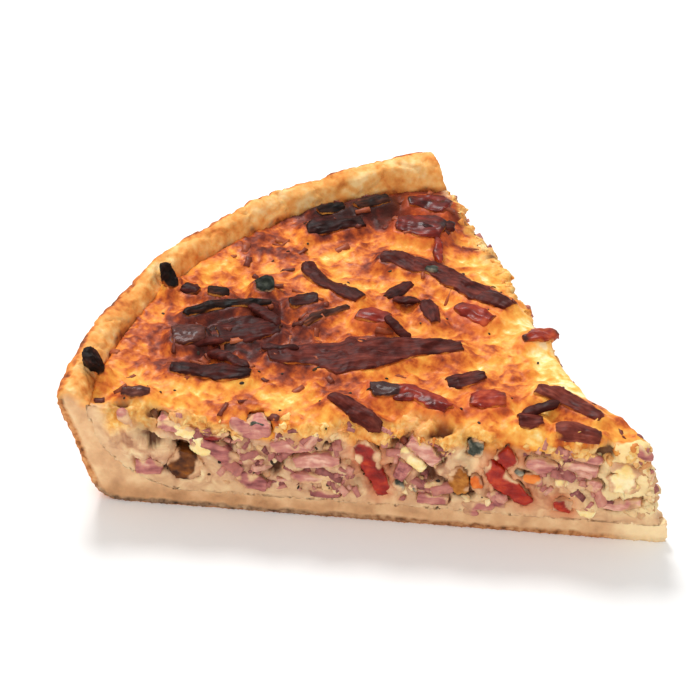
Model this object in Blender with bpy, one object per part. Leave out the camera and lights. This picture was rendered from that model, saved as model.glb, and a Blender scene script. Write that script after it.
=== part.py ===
"""A slice of ham quiche: the pastry shell, the custard filling, and the pieces of ham, red
pepper, mushroom, carrot, onion, cheese and herb that show on its top and in its cut side.

Metres, +Z up. The origin is at the underside, below the middle of the slice's outline. The
tip points to +X, the rim is at -X, and the cut side that shows its layers faces -Y. Sizes
below are in millimetres, and places are seen from the tip of the pastry, at the level of
the underside.
"""

import math
import random

import bmesh
import bpy
from mathutils import Matrix, Vector, noise
from mathutils.bvhtree import BVHTree

MM = 0.001

# The tin and the slice
TIN_RADIUS = 124.4
TIN_CENTRE = Vector((-15.1, -6.1))
CUT_NEAR = math.radians(210.0)
CUT_FAR = math.radians(150.0)
MIDDLE = Vector((-70.07, -1.6, 0.0))
TIP_BLUNT = 3.0
GAP = 0.35

# The pastry shell. A pair is a value at the near cut and one at the far cut, and a ripple is
# the distance from bump to bump, then the height of the bumps
BASE_THICK = 5.0
RIM_HEIGHT = (31.0, 32.9)
RIM_BAND = (7.0, 12.4)
RIM_WIDENS = 6
RIM_CROWN = 0.7
RIM_EASE_OUT, RIM_EASE_IN = 0.6, 0.4
LIP_BEND = 0.08
LIP_LEAN = 0.42
FLARE = 0.3
FLARE_TOP = 27.5
CORNER_RADIUS = 7.0
CORNER_TURN = math.radians(73.0)
INNER_FILLET = 30.0
TIP_BLUNT_FADE = 6
TIP_ROUND = 0.75
OUTSIDE_RIPPLES_TO = 6.0
INSIDE_RIPPLES = (24.0, 28.0)
CREST_RIPPLES = (20.0, 28.0)
WALL_WAVE, WALL_GRAIN, CREST_WAVE = (17.0, 1.0), (6.0, 0.4), (13.0, 1.3)
BASE_STEPS, CORNER_STEPS, WALL_STEPS, LIP_STEPS = 11, 4, 6, 3
SHELL_ACROSS = 26

# The far cut leans in from a straight line: distance from the tip, then how far it leans
FAR_CUT_LEAN = ((4.0, 0.0), (12.0, 1.2), (17.0, 2.4), (24.0, 5.8), (38.0, 5.2), (50.0, 4.0),
                (66.0, 3.8), (92.0, 2.2), (105.0, 1.0), (113.0, 0.2))

# The filling
FILL_EDGE = (27.0, 25.9)
FILL_CLIMB = 1.4
FILL_UNDER_EDGE = 0.3
FILL_FROM_WALL = (0.55, 1.75)
FILL_FLOOR = 5.6
FILL_TIP_LOW = Vector((-2.6, -1.5))
FILL_TIP_HIGH = Vector((-5.9, -3.4))
FILL_TIP_WIDTH = Vector((-0.8, 2.8))
FILL_TIP_OUT = Vector((1.0, 0.3, 0.0))
FILL_CROWD = 0.92
FILL_AT_WALL = 0.9
FILL_GRID = (46, 20, 9)
TOP_LEVEL = 27.5
TOP_FALL = 0.9
TOP_REACH = 120.0
TOP_SWELL, TOP_WRINKLE = (24.0, 1.5), (9.0, 0.9)
TOP_ROUND, TOP_ROUND_SHARE = 1.6, 12.0
CRAG = 0.9
CRAG_SIZE, FAR_CRAG_SIZE = 4.0, 5.0
CRAG_COARSE = 2.3
CRAG_FINE_SHARE, CRAG_PIT_SHARE = 0.6, 0.7
CRAG_FROM = 0.25
FAR_INSET = 0.5
TIP_LEAN = 0.35

# Scraps baked into the top
BIT_COUNT = 16
BIT_SIZE = (1.3, 2.2)
BIT_SHAPE = Vector((1.3, 0.8, 0.6))
BIT_REACH = (30.0, 112.0)
BIT_FROM_CUT = 0.1
BIT_CLEAR = 1.2
BIT_RAISED = 0.1
SEED = 7

NEAR_ALONG = Vector((math.cos(CUT_NEAR), math.sin(CUT_NEAR), 0.0))
NEAR_OUT = Vector((-NEAR_ALONG.y, NEAR_ALONG.x, 0.0))
FAR_ALONG = Vector((math.cos(CUT_FAR), math.sin(CUT_FAR), 0.0))
FAR_OUT = Vector((FAR_ALONG.y, -FAR_ALONG.x, 0.0))

# Pieces on the top: name, colour, thickness, then x, y and width at each point of the middle line
TOP_PIECES = (
    ("ham_top_1", "ham", 2.4, ((-93.5, -28.5, 6.0), (-87.5, -22.8, 7.5), (-79.2, -17.6, 13.5),
                               (-73.1, -10.6, 11.0), (-67.0, -3.5, 6.2), (-60.2, 2.2, 5.2))),
    ("ham_top_2", "ham", 2.2, ((-111.2, 9.2, 3.6), (-105.4, 5.8, 4.4), (-97.9, 4.4, 4.8),
                               (-90.6, 3.2, 4.8))),
    ("ham_top_3", "ham", 2.0, ((-103.8, -7.2, 4.6), (-101.4, -4.4, 5.2), (-98.9, -1.9, 4.2))),
    ("ham_top_4", "ham", 2.0, ((-108.9, -45.4, 3.6), (-102.9, -42.2, 4.8), (-97.7, -39.4, 5.2),
                               (-92.5, -36.8, 3.2))),
    ("ham_top_5", "ham", 1.8, ((-127.6, -18.6, 3.2), (-125.2, -18.0, 4.0), (-123.2, -17.6, 3.0))),
    ("ham_top_6", "ham", 2.0, ((-120.6, 21.0, 3.8), (-117.6, 24.4, 5.6), (-114.4, 28.4, 6.2),
                               (-111.2, 32.4, 5.0))),
    ("ham_top_7", "ham", 2.4, ((-97.6, 21.6, 4.2), (-91.8, 24.0, 6.0), (-86.0, 25.2, 5.8),
                               (-78.2, 24.4, 6.4), (-69.4, 22.6, 6.4), (-60.0, 21.6, 5.4))),
    ("ham_top_8", "ham", 1.8, ((-86.4, 17.4, 3.4), (-86.3, 12.7, 3.8), (-86.2, 8.4, 3.4))),
    ("ham_top_9", "ham", 1.9, ((-78.0, 13.0, 3.4), (-74.1, 9.6, 4.2), (-70.4, 6.6, 3.2))),
    ("ham_top_10", "ham", 2.4, ((-36.2, -3.2, 4.2), (-31.0, -2.0, 5.4), (-25.0, -2.2, 5.0),
                                (-18.6, -3.2, 3.0))),
    ("ham_top_11", "ham", 2.4, ((-24.8, -11.6, 4.2), (-20.0, -9.6, 4.8), (-15.4, -7.6, 3.4))),
    ("ham_top_12", "ham", 2.0, ((-33.2, -14.6, 4.2), (-31.0, -12.6, 5.2), (-28.8, -10.8, 4.0))),
    ("ham_top_13", "ham", 1.8, ((-54.6, -11.8, 4.0), (-52.0, -8.0, 6.2), (-49.4, -4.2, 4.2))),
    ("ham_top_14", "ham", 2.2, ((-72.4, -32.8, 3.4), (-67.0, -32.8, 4.6), (-61.4, -33.2, 4.2),
                                (-57.6, -32.8, 2.8))),
    ("ham_top_15", "ham", 1.8, ((-109.4, -27.6, 7.6), (-104.6, -22.6, 9.6), (-99.8, -16.4, 7.8))),
    ("pepper_top_1", "pepper", 2.6, ((-87.0, -3.0, 4.4), (-83.2, -1.2, 5.6), (-79.6, 0.4, 3.8))),
    ("pepper_top_2", "pepper", 2.4, ((-108.0, 47.8, 5.4), (-103.6, 50.6, 7.4), (-98.4, 51.6, 7.0))),
    ("pepper_top_3", "pepper", 3.0, ((-103.8, 36.6, 7.6), (-98.6, 39.4, 9.6), (-92.4, 40.8, 8.0))),
    ("pepper_top_4", "pepper", 2.4, ((-70.4, 15.6, 4.4), (-65.4, 14.6, 5.8), (-60.4, 14.0, 6.0))),
    ("pepper_top_5", "pepper", 2.2, ((-50.2, 12.6, 3.0), (-47.8, 17.2, 4.4), (-46.2, 21.6, 3.0))),
    ("pepper_top_6", "pepper", 2.8, ((-66.0, -25.6, 6.0), (-62.6, -22.4, 5.6), (-57.6, -20.6, 4.6),
                                     (-52.4, -20.8, 4.8), (-47.2, -21.6, 4.4))),
    ("pepper_top_7", "pepper", 2.4, ((-46.2, -14.8, 5.2), (-43.0, -12.6, 7.6), (-39.6, -10.4, 5.2))),
    ("charred_top_1", "charred", 2.4, ((-90.4, -1.4, 2.6), (-92.6, -5.4, 3.0), (-94.6, -9.8, 3.0),
                                       (-94.2, -13.6, 2.6))),
    ("charred_top_2", "charred", 2.6, ((-119.6, -27.2, 2.6), (-118.6, -23.0, 3.4),
                                       (-114.4, -16.8, 3.2), (-106.6, -10.2, 2.4))),
    ("charred_top_3", "charred", 3.0, ((-131.8, -21.2, 4.2), (-130.2, -19.8, 5.0), (-128.8, -18.4, 3.4))),
    ("charred_top_4", "charred", 3.0, ((-121.4, -16.4, 4.2), (-119.4, -14.8, 5.0), (-117.6, -13.0, 3.8))),
    ("charred_top_5", "charred", 3.0, ((-123.4, -56.6, 3.6), (-121.4, -58.0, 4.8), (-118.8, -59.4, 4.4))),
    ("charred_top_6", "charred", 2.4, ((-115.8, 36.2, 3.4), (-114.2, 40.6, 4.2), (-112.2, 44.8, 3.6))),
    ("charred_top_7", "charred", 2.4, ((-122.2, 28.4, 3.8), (-120.6, 31.6, 4.8), (-118.6, 34.6, 3.8))),
    ("onion_top_1", "onion", 3.4, ((-116.6, -35.6, 6.6), (-113.6, -33.0, 8.0), (-110.6, -30.6, 6.0))),
    ("onion_top_2", "onion", 2.0, ((-112.2, -59.0, 3.0), (-109.4, -57.2, 3.8), (-106.6, -55.2, 2.8))),
    ("herb_top_1", "herb", 3.4, ((-114.0, -7.2, 5.4), (-112.4, -5.7, 6.4), (-110.8, -4.2, 4.6))),
)

# Pieces in the cut side: name, colour, then distance from the tip, height and width at each point
CUT_PIECES = (
    ("ham_cut_1", "ham", ((117.4, 23.6, 3.2), (112.4, 22.6, 3.8))),
    ("ham_cut_2", "ham", ((122.8, 11.2, 4.0), (119.6, 11.4, 4.8), (116.6, 10.8, 3.8))),
    ("ham_cut_3", "ham", ((107.6, 19.4, 3.0), (102.6, 16.4, 3.8), (98.6, 14.2, 3.0))),
    ("ham_cut_4", "ham", ((99.4, 11.0, 3.4), (96.4, 9.4, 4.4), (92.6, 7.8, 3.4))),
    ("ham_cut_5", "ham", ((98.0, 23.0, 3.0), (94.6, 23.6, 3.6), (91.6, 23.6, 2.8))),
    ("ham_cut_6", "ham", ((91.6, 19.4, 2.6), (86.6, 19.8, 3.2), (82.2, 20.4, 2.6))),
    ("ham_cut_7", "ham", ((86.4, 15.6, 3.0), (81.0, 16.2, 3.8), (75.6, 17.0, 3.0))),
    ("ham_cut_8", "ham", ((86.8, 10.8, 2.4), (81.6, 11.4, 2.8), (76.4, 11.8, 2.4))),
    ("ham_cut_9", "ham", ((82.6, 7.4, 2.6), (75.4, 7.8, 3.0))),
    ("ham_cut_10", "ham", ((62.6, 13.0, 3.4), (60.4, 17.6, 4.0))),
    ("ham_cut_11", "ham", ((60.2, 23.6, 3.4), (56.6, 21.6, 4.4), (53.6, 18.6, 3.6))),
    ("ham_cut_12", "ham", ((57.8, 8.0, 2.8), (50.6, 7.8, 2.8))),
    ("ham_cut_13", "ham", ((33.6, 20.4, 3.2), (30.0, 19.8, 3.8), (26.6, 19.6, 3.2))),
    ("ham_cut_14", "ham", ((25.0, 20.2, 2.8), (21.0, 19.8, 3.4), (17.2, 19.4, 2.8))),
    ("ham_cut_15", "ham", ((19.8, 15.6, 3.2), (16.6, 14.8, 3.4))),
    ("ham_cut_16", "ham", ((17.0, 10.4, 3.0), (12.0, 10.6, 3.4), (7.0, 11.4, 2.8))),
    ("pepper_cut_1", "pepper", ((71.2, 22.6, 4.2), (69.4, 18.0, 5.0), (67.4, 13.0, 4.4), (65.6, 8.4, 3.4))),
    ("pepper_cut_2", "pepper", ((42.4, 19.0, 4.0), (39.4, 15.8, 4.6), (36.0, 12.0, 4.2), (32.4, 8.8, 3.2))),
    ("pepper_cut_3", "pepper", ((39.4, 22.6, 4.4), (36.8, 19.0, 4.0))),
    ("pepper_cut_4", "pepper", ((26.8, 8.9, 3.8), (22.6, 8.6, 4.2))),
    ("mushroom_cut_1", "mushroom", ((114.4, 14.2, 6.4), (111.0, 12.4, 8.6), (108.0, 10.4, 5.6))),
    ("mushroom_cut_2", "mushroom", ((49.6, 17.2, 3.6), (48.6, 13.6, 4.2), (47.8, 10.4, 3.4))),
    ("carrot_cut_1", "carrot", ((45.0, 15.6, 2.6), (44.2, 12.2, 2.8))),
    ("herb_cut_1", "herb", ((46.8, 23.2, 4.2), (43.6, 23.0, 4.6))),
    ("cheese_cut_1", "cheese", ((14.6, 16.4, 4.8), (11.6, 16.8, 6.4), (8.8, 16.8, 5.0))),
)
CUT_DEPTH = 5.0
CUT_DEPTH_AT_TIP = 0.42
CUT_PROUD = 1.0
CUT_STEP = 3.5
CUT_END = 0.8
CUT_EDGE_RIPPLE = (3.5, 0.25)
POCKET_REACH = 4.0

# Pieces on the top: length of one step, width left at the ends, and unevenness
TOP_STEP = 4.0
TOP_END = 0.82
TOP_SHOULDER = 0.8
TOP_EDGE_RIPPLE, TOP_FACE_RIPPLE = (4.0, 0.3), (5.0, 0.5)
OTHER_EDGE = 40.0
REST_REACH = 1.5
REST_REACH_MOST = 6.0
REST_AT_LEAST = 22.0
ABOVE_ALL = 60.0
LOOKS = 12

COLOURS = {
    "crust": ((0.72, 0.43, 0.18), 0.75),
    "custard": ((0.86, 0.46, 0.13), 0.5),
    "ham": ((0.27, 0.075, 0.085), 0.45),
    "pepper": ((0.50, 0.03, 0.015), 0.3),
    "charred": ((0.03, 0.022, 0.02), 0.6),
    "onion": ((0.12, 0.035, 0.035), 0.35),
    "herb": ((0.05, 0.065, 0.045), 0.7),
    "mushroom": ((0.33, 0.14, 0.05), 0.5),
    "carrot": ((0.75, 0.22, 0.04), 0.45),
    "cheese": ((0.88, 0.68, 0.32), 0.5),
}


def mix(pair, share):
    return pair[0] + (pair[1] - pair[0]) * share


def ramp(value, low, high):
    """0 up to low, 1 from high, and even between them."""
    return min(max((value - low) / (high - low), 0.0), 1.0)


def in_metres(place):
    """A place seen from the tip, in millimetres, as a place in the slice's own frame."""
    return (Vector(place) - MIDDLE) * MM


def ripple(place, wave):
    size, amount = wave
    return amount * noise.noise(Vector(place) / size)


def clear_scene():
    for item in list(bpy.data.objects):
        bpy.data.objects.remove(item, do_unlink=True)


def new_collection(name):
    made = bpy.data.collections.new(name)
    bpy.context.scene.collection.children.link(made)
    return made


def material(kind):
    """One plain finish for each kind of food."""
    if kind in bpy.data.materials:
        return bpy.data.materials[kind]
    colour, rough = COLOURS[kind]
    made = bpy.data.materials.new(kind)
    made.use_nodes = True
    shader = made.node_tree.nodes["Principled BSDF"]
    shader.inputs["Base Color"].default_value = (*colour, 1.0)
    shader.inputs["Roughness"].default_value = rough
    shader.inputs["Metallic"].default_value = 0.0
    return made


def add_object(name, form, kind, collection):
    """Turns a bmesh into a named, shaded object."""
    mesh = bpy.data.meshes.new(name)
    form.to_mesh(mesh)
    form.free()
    mesh.shade_smooth()
    mesh.set_sharp_from_angle(angle=math.radians(50.0))
    if kind:
        mesh.materials.append(material(kind))
    made = bpy.data.objects.new(name, mesh)
    collection.objects.link(made)
    return made


def box_grid(counts, place):
    """A closed block of quads, counts squares along, across and up, bent by place(u, v, w)."""
    along, across, up = counts
    form = bmesh.new()
    spots = {}

    def corner(i, j, k):
        if (i, j, k) not in spots:
            spots[i, j, k] = form.verts.new(in_metres(place(i / along, j / across, k / up)))
        return spots[i, j, k]

    def side(rows, columns, spot):
        for a in range(rows):
            for b in range(columns):
                form.faces.new((spot(a, b), spot(a + 1, b), spot(a + 1, b + 1), spot(a, b + 1)))

    side(along, across, lambda a, b: corner(a, b, up))
    side(across, along, lambda a, b: corner(b, a, 0))
    side(along, up, lambda a, b: corner(a, 0, b))
    side(up, along, lambda a, b: corner(b, across, a))
    side(across, up, lambda a, b: corner(along, a, b))
    side(up, across, lambda a, b: corner(0, b, a))
    bmesh.ops.recalc_face_normals(form, faces=form.faces)
    return form


def dissolve_flat(form, height):
    """Joins the small faces of the flat underside into few."""
    level = height * MM
    flat = [f for f in form.faces if all(abs(v.co.z - level) < 1e-7 for v in f.verts)]
    edges = list({e for f in flat for e in f.edges})
    verts = list({v for f in flat for v in f.verts})
    bmesh.ops.dissolve_limit(form, angle_limit=math.radians(0.5), verts=verts, edges=edges)
    bmesh.ops.triangulate(form, faces=[f for f in form.faces if len(f.verts) > 4])


def rim_distance(angle):
    """From the tip to the rim's outer edge, along one direction."""
    ray = Vector((math.cos(angle), math.sin(angle)))
    along = ray.dot(TIN_CENTRE)
    return along + math.sqrt(along**2 - TIN_CENTRE.length_squared + TIN_RADIUS**2)


def far_lean(distance, v):
    """How far the slice is drawn in towards its middle, at one distance from the tip."""
    lean = 0.0
    for (start, low), (end, high) in zip(FAR_CUT_LEAN, FAR_CUT_LEAN[1:]):
        if distance > start:
            lean = mix((low, high), ramp(distance, start, end))
    return FAR_OUT * (-lean * v * v)


def band(v):
    """Width of the rim, from its outer edge to the filling."""
    return mix(RIM_BAND, v**RIM_WIDENS)


def fill_edge(v):
    """Height at which the filling meets the rim. It climbs a little between the cuts."""
    return mix(FILL_EDGE, v) + FILL_CLIMB * math.sin(math.pi * v)


def shell_outside(step, v, rim):
    """Distance and height of the shell's outside at one station of its profile."""
    low = CORNER_RADIUS * (1.0 - math.cos(CORNER_TURN))
    corner_r = rim - FLARE * (FLARE_TOP - low) - CORNER_RADIUS * math.sin(CORNER_TURN)
    if step <= BASE_STEPS:
        return corner_r * step / BASE_STEPS, 0.0
    step -= BASE_STEPS
    if step <= CORNER_STEPS:
        turn = CORNER_TURN * step / CORNER_STEPS
        return corner_r + CORNER_RADIUS * math.sin(turn), CORNER_RADIUS * (1.0 - math.cos(turn))
    step -= CORNER_STEPS
    share = step / (WALL_STEPS + LIP_STEPS)
    height = low + (mix(RIM_HEIGHT, v) - RIM_EASE_OUT - low) * share
    over = height - FLARE_TOP
    return rim - (FLARE * -over if over < 0 else LIP_BEND * over**2), height


def inner_offset(height, v):
    """How far the shell's inner wall stands in from the rim's outer edge, at one height."""
    rise = ramp(height, BASE_THICK, fill_edge(v))
    return band(v) + (INNER_FILLET - band(v)) * (1.0 - math.sqrt(1.0 - (1.0 - rise) ** 2))


def shell_inside(step, v, rim):
    """Distance and height of the shell's inside at one station of its profile."""
    edge = fill_edge(v)
    if step <= BASE_STEPS:
        return (rim - INNER_FILLET) * step / BASE_STEPS, BASE_THICK
    step -= BASE_STEPS
    curve = CORNER_STEPS + WALL_STEPS
    if step <= curve:
        turn = math.pi / 2 * (1.0 - step / curve)
        height = BASE_THICK + (edge - BASE_THICK) * (1.0 - math.sin(turn))
        return rim - band(v) - (INNER_FILLET - band(v)) * (1.0 - math.cos(turn)), height
    share = (step - curve) / LIP_STEPS
    height = edge + (mix(RIM_HEIGHT, v) - RIM_EASE_IN - edge) * math.sin(share * math.pi / 2)
    return rim - band(v) * (1.0 - LIP_LEAN * share), height


def build_shell(collection):
    """Base and wall of pastry in one piece, cut along both sides."""
    steps = BASE_STEPS + CORNER_STEPS + WALL_STEPS + LIP_STEPS

    def place(u, v, w):
        step = round(u * steps)
        angle = mix((CUT_NEAR, CUT_FAR), v)
        rim = rim_distance(angle)
        low, high = shell_outside(step, v, rim), shell_inside(step, v, rim)
        reach, height = mix((low[0], high[0]), w), mix((low[1], high[1]), w)
        start = TIP_BLUNT * (1.0 - u) ** TIP_BLUNT_FADE
        ray = Vector((math.cos(angle), math.sin(angle), 0.0))
        spot = ray * (reach + start * (1.0 - TIP_ROUND * math.sin(math.pi * v)))
        spot.z = height
        if step == steps:
            spot.z += RIM_CROWN * math.sin(math.pi * w)
        uneven = ramp(height, *INSIDE_RIPPLES) if w == 1.0 else ramp(height, 0.0, OUTSIDE_RIPPLES_TO)
        spot += ray * uneven * (ripple(spot, WALL_WAVE) + ripple(spot, WALL_GRAIN))
        spot.z += uneven * ramp(height, *CREST_RIPPLES) * ripple(spot, CREST_WAVE)
        return spot + far_lean(reach, v)

    form = box_grid((steps, SHELL_ACROSS, 2), place)
    dissolve_flat(form, 0.0)
    return add_object("crust", form, "crust", collection)


def top_height(x, y, v):
    """Height of the filling's baked top, a little puffed and wrinkled."""
    spot = Vector((x, y, 0.0))
    level = TOP_LEVEL - TOP_FALL * (1.0 + v) * ramp(spot.length, 0.0, TOP_REACH)
    return level + ripple(spot, TOP_SWELL) + ripple(spot + Vector((9.0, 4.0, 2.0)), TOP_WRINKLE)


def crag(place, size, depth):
    """Broken custard: bumps with deeper pits between them."""
    fine = noise.noise(place / size)
    coarse = noise.noise(place / (size * CRAG_COARSE) + Vector((5.0, 1.0, 3.0)))
    return depth * (CRAG_FINE_SHARE * fine + coarse - CRAG_PIT_SHARE * max(0.0, -coarse))


def build_filling(collection):
    """The custard, which fills the shell and is blunt and crumbled at its tip."""

    def place(u, v, w):
        angle = mix((CUT_NEAR, CUT_FAR), v)
        rim = rim_distance(angle)
        edge = fill_edge(v) - FILL_UNDER_EDGE
        wall_z = FILL_FLOOR + (edge - FILL_FLOOR) * w
        spare = mix(FILL_FROM_WALL, (1.0 - w) ** 3)
        wall = Vector((math.cos(angle), math.sin(angle))) * (rim - inner_offset(wall_z, v) - spare)
        tip = FILL_TIP_LOW.lerp(FILL_TIP_HIGH, w**TIP_LEAN) + FILL_TIP_WIDTH * v
        share = u**FILL_CROWD
        flat = tip.lerp(wall, share)
        at_wall = ramp(share, FILL_AT_WALL, 1.0)
        top = mix((top_height(flat.x, flat.y, v), edge), at_wall)
        if w == 1.0:
            round_off = 1.0 - min(1.0, v * TOP_ROUND_SHARE, (1.0 - v) * TOP_ROUND_SHARE)
            top -= round_off * TOP_ROUND * (1.0 - at_wall)
        spot = Vector((flat.x, flat.y, FILL_FLOOR + (top - FILL_FLOOR) * w))
        spot += far_lean(flat.length, v)
        rough = ramp(w, 0.0, CRAG_FROM) * (1.0 - at_wall)
        if v == 0.0:
            spot += NEAR_OUT * rough * crag(spot, CRAG_SIZE, CRAG)
        if v == 1.0:
            spot -= FAR_OUT * rough * (FAR_INSET + abs(crag(spot, FAR_CRAG_SIZE, CRAG)))
        if u == 0.0:
            spot += FILL_TIP_OUT * rough * crag(spot, CRAG_SIZE, CRAG)
        return spot

    form = box_grid(FILL_GRID, place)
    dissolve_flat(form, FILL_FLOOR)
    return add_object("filling", form, "custard", collection)


def path_point(points, share):
    """A point, its width and its direction on a smooth line through the given points."""
    spans = len(points) - 1
    span = min(int(share * spans), spans - 1)
    t = share * spans - span
    rows = [Vector(points[min(max(span + k, 0), spans)]) for k in (-1, 0, 1, 2)]
    if span == 0:
        rows[0] = rows[1] * 2.0 - rows[2]
    if span == spans - 1:
        rows[3] = rows[2] * 2.0 - rows[1]
    a, b, c, d = rows
    spot = 0.5 * ((2.0 * b) + (c - a) * t + (2.0 * a - 5.0 * b + 4.0 * c - d) * t**2
                  + (3.0 * b - a - 3.0 * c + d) * t**3)
    slope = 0.5 * ((c - a) + 2.0 * (2.0 * a - 5.0 * b + 4.0 * c - d) * t
                   + 3.0 * (3.0 * b - a - 3.0 * c + d) * t**2)
    return spot, Vector((slope.x, slope.y)).normalized()


def rest_height(trees, x, y, reach=REST_REACH):
    """The highest surface under a spot and just round it, plus a small gap. Where a piece
    hangs over an edge, the look round is wider, so that it stays level with what holds it."""
    best = 0.0
    for dx in (-reach, 0.0, reach):
        for dy in (-reach, 0.0, reach):
            start = in_metres((x + dx, y + dy, ABOVE_ALL))
            for tree in trees:
                hit = tree.ray_cast(start, Vector((0.0, 0.0, -1.0)))[0]
                if hit is not None:
                    best = max(best, hit.z / MM)
    if best < REST_AT_LEAST and reach < REST_REACH_MOST:
        return rest_height(trees, x, y, reach * 2.0)
    return max(best, REST_AT_LEAST) + GAP


def build_top_piece(name, kind, thick, points, trees, collection):
    """A strip or chunk that lies on the filling and follows it."""
    length = sum((Vector(b[:2]) - Vector(a[:2])).length for a, b in zip(points, points[1:]))
    along = max(3, round(length / TOP_STEP))

    def place(u, v, w):
        spot, way = path_point(points, u)
        edge = 1.0 + ripple((spot.x + OTHER_EDGE * v, spot.y, thick), TOP_EDGE_RIPPLE)
        wide = 0.5 * spot.z * edge * (TOP_END if u in (0.0, 1.0) else 1.0)
        side = Vector((-way.y, way.x)) * wide * (2.0 * v - 1.0)
        flat = Vector((spot.x, spot.y)) + side
        height = rest_height(trees, flat.x, flat.y)
        crown = thick * mix((TOP_SHOULDER, 1.0), math.sin(math.pi * v))
        face = height + w * (crown + ripple(flat.to_3d(), TOP_FACE_RIPPLE))
        return Vector((flat.x, flat.y, face))

    return add_object(name, box_grid((along, 2, 1), place), kind, collection)


def build_cut_piece(name, kind, points, collection, pockets):
    """A chunk set in the cut side, and the slightly larger pocket that takes it."""
    length = sum((Vector(b[:2]) - Vector(a[:2])).length for a, b in zip(points, points[1:]))
    along = max(2, round(length / CUT_STEP))

    def shape(grow, out):
        def place(u, v, w):
            spot, way = path_point(points, u)
            edge = 1.0 + ripple((spot.x + OTHER_EDGE * v, spot.y, 0.0), CUT_EDGE_RIPPLE)
            wide = 0.5 * spot.z * edge * (CUT_END if u in (0.0, 1.0) else 1.0) + grow
            flat = Vector((spot.x, spot.y)) + Vector((-way.y, way.x)) * wide * (2.0 * v - 1.0)
            flat += way * grow * (2.0 * u - 1.0)
            depth = min(CUT_DEPTH, CUT_DEPTH_AT_TIP * flat.x) + grow
            deep = (depth + out) * w - depth
            return NEAR_ALONG * flat.x + Vector((0.0, 0.0, flat.y)) + NEAR_OUT * deep
        return place

    cutter = box_grid((along, 2, 1), shape(GAP, POCKET_REACH))
    helper = add_object(name + "_pocket", cutter, None, pockets)
    helper.hide_render = True
    helper.display_type = "WIRE"
    return add_object(name, box_grid((along, 2, 1), shape(0.0, CUT_PROUD)), kind, collection)


def clear_of_pieces(x, y, keep):
    """True where no piece of the top lies within a distance."""
    for _, _, _, points in TOP_PIECES:
        for look in range(LOOKS + 1):
            spot = path_point(points, look / LOOKS)[0]
            if (Vector((x, y)) - Vector((spot.x, spot.y))).length < keep + spot.z / 2:
                return False
    return True


def add_bits(filling, trees):
    """Small scraps of ham and pepper, baked into the top and fused to it."""
    scraps = new_collection("scraps")
    draw = random.Random(SEED)
    made = 0
    while made < BIT_COUNT:
        angle = mix((CUT_NEAR - BIT_FROM_CUT, CUT_FAR + BIT_FROM_CUT), draw.random())
        reach = draw.uniform(*BIT_REACH)
        x, y = reach * math.cos(angle), reach * math.sin(angle)
        size = draw.uniform(*BIT_SIZE)
        turn = draw.uniform(0.0, math.pi)
        if not clear_of_pieces(x, y, size + BIT_CLEAR):
            continue
        form = bmesh.new()
        bmesh.ops.create_icosphere(form, subdivisions=1, radius=size * MM)
        height = rest_height(trees[:1], x, y, BIT_RAISED) - GAP
        shape = Matrix.Translation(in_metres((x, y, height + BIT_RAISED)))
        shape = shape @ Matrix.Rotation(turn, 4, "Z") @ Matrix.Diagonal(BIT_SHAPE).to_4x4()
        bmesh.ops.transform(form, matrix=shape, verts=form.verts)
        add_object(f"scrap_{made}", form, None, scraps)
        made += 1
    join = filling.modifiers.new("fuse scraps", "BOOLEAN")
    join.operation = "UNION"
    join.solver = "MANIFOLD"
    join.operand_type = "COLLECTION"
    join.collection = scraps
    apply_modifiers(filling)
    keep_main_body(filling)
    for item in list(scraps.objects):
        bpy.data.objects.remove(item, do_unlink=True)
    bpy.data.collections.remove(scraps)


def apply_modifiers(item):
    graph = bpy.context.evaluated_depsgraph_get()
    finished = bpy.data.meshes.new_from_object(item.evaluated_get(graph))
    item.modifiers.clear()
    item.data = finished


def keep_main_body(item):
    """Drops loose scraps that a cut leaves behind."""
    form = bmesh.new()
    form.from_mesh(item.data)
    left, bodies = set(form.verts), []
    while left:
        body, edge = set(), [left.pop()]
        while edge:
            vert = edge.pop()
            body.add(vert)
            for link in vert.link_edges:
                other = link.other_vert(vert)
                if other in left:
                    left.discard(other)
                    edge.append(other)
        bodies.append(body)
    main_body = max(bodies, key=len)
    loose = [v for body in bodies if body is not main_body for v in body]
    bmesh.ops.delete(form, geom=loose, context="VERTS")
    form.to_mesh(item.data)
    form.free()


def tree_of(item):
    return BVHTree.FromPolygons([v.co for v in item.data.vertices],
                                [tuple(p.vertices) for p in item.data.polygons])


def main():
    clear_scene()
    slice_parts = new_collection("ham_quiche_slice")
    pockets = new_collection("pockets")
    crust = build_shell(slice_parts)
    filling = build_filling(slice_parts)
    trees = [tree_of(filling), tree_of(crust)]
    for name, kind, thick, points in TOP_PIECES:
        build_top_piece(name, kind, thick, points, trees, slice_parts)
    for name, kind, points in CUT_PIECES:
        build_cut_piece(name, kind, points, slice_parts, pockets)
    cut = filling.modifiers.new("pockets", "BOOLEAN")
    cut.operation = "DIFFERENCE"
    cut.solver = "MANIFOLD"
    cut.operand_type = "COLLECTION"
    cut.collection = pockets
    apply_modifiers(filling)
    keep_main_body(filling)
    for item in list(pockets.objects):
        bpy.data.objects.remove(item, do_unlink=True)
    bpy.data.collections.remove(pockets)
    add_bits(filling, trees)


main()
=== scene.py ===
# %% [markdown]
# # Dressing a slice of ham quiche
#
# The frame holds one solid for each piece of the slice: a pastry shell, the custard that fills
# it, and the ham, pepper and other pieces that show on the top and in the cut side. This lesson
# gives each of them the surface that baking and cutting left. The solids give every place and
# size, so nothing is fitted by eye: a finer form grows from each solid and takes its place.

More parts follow.
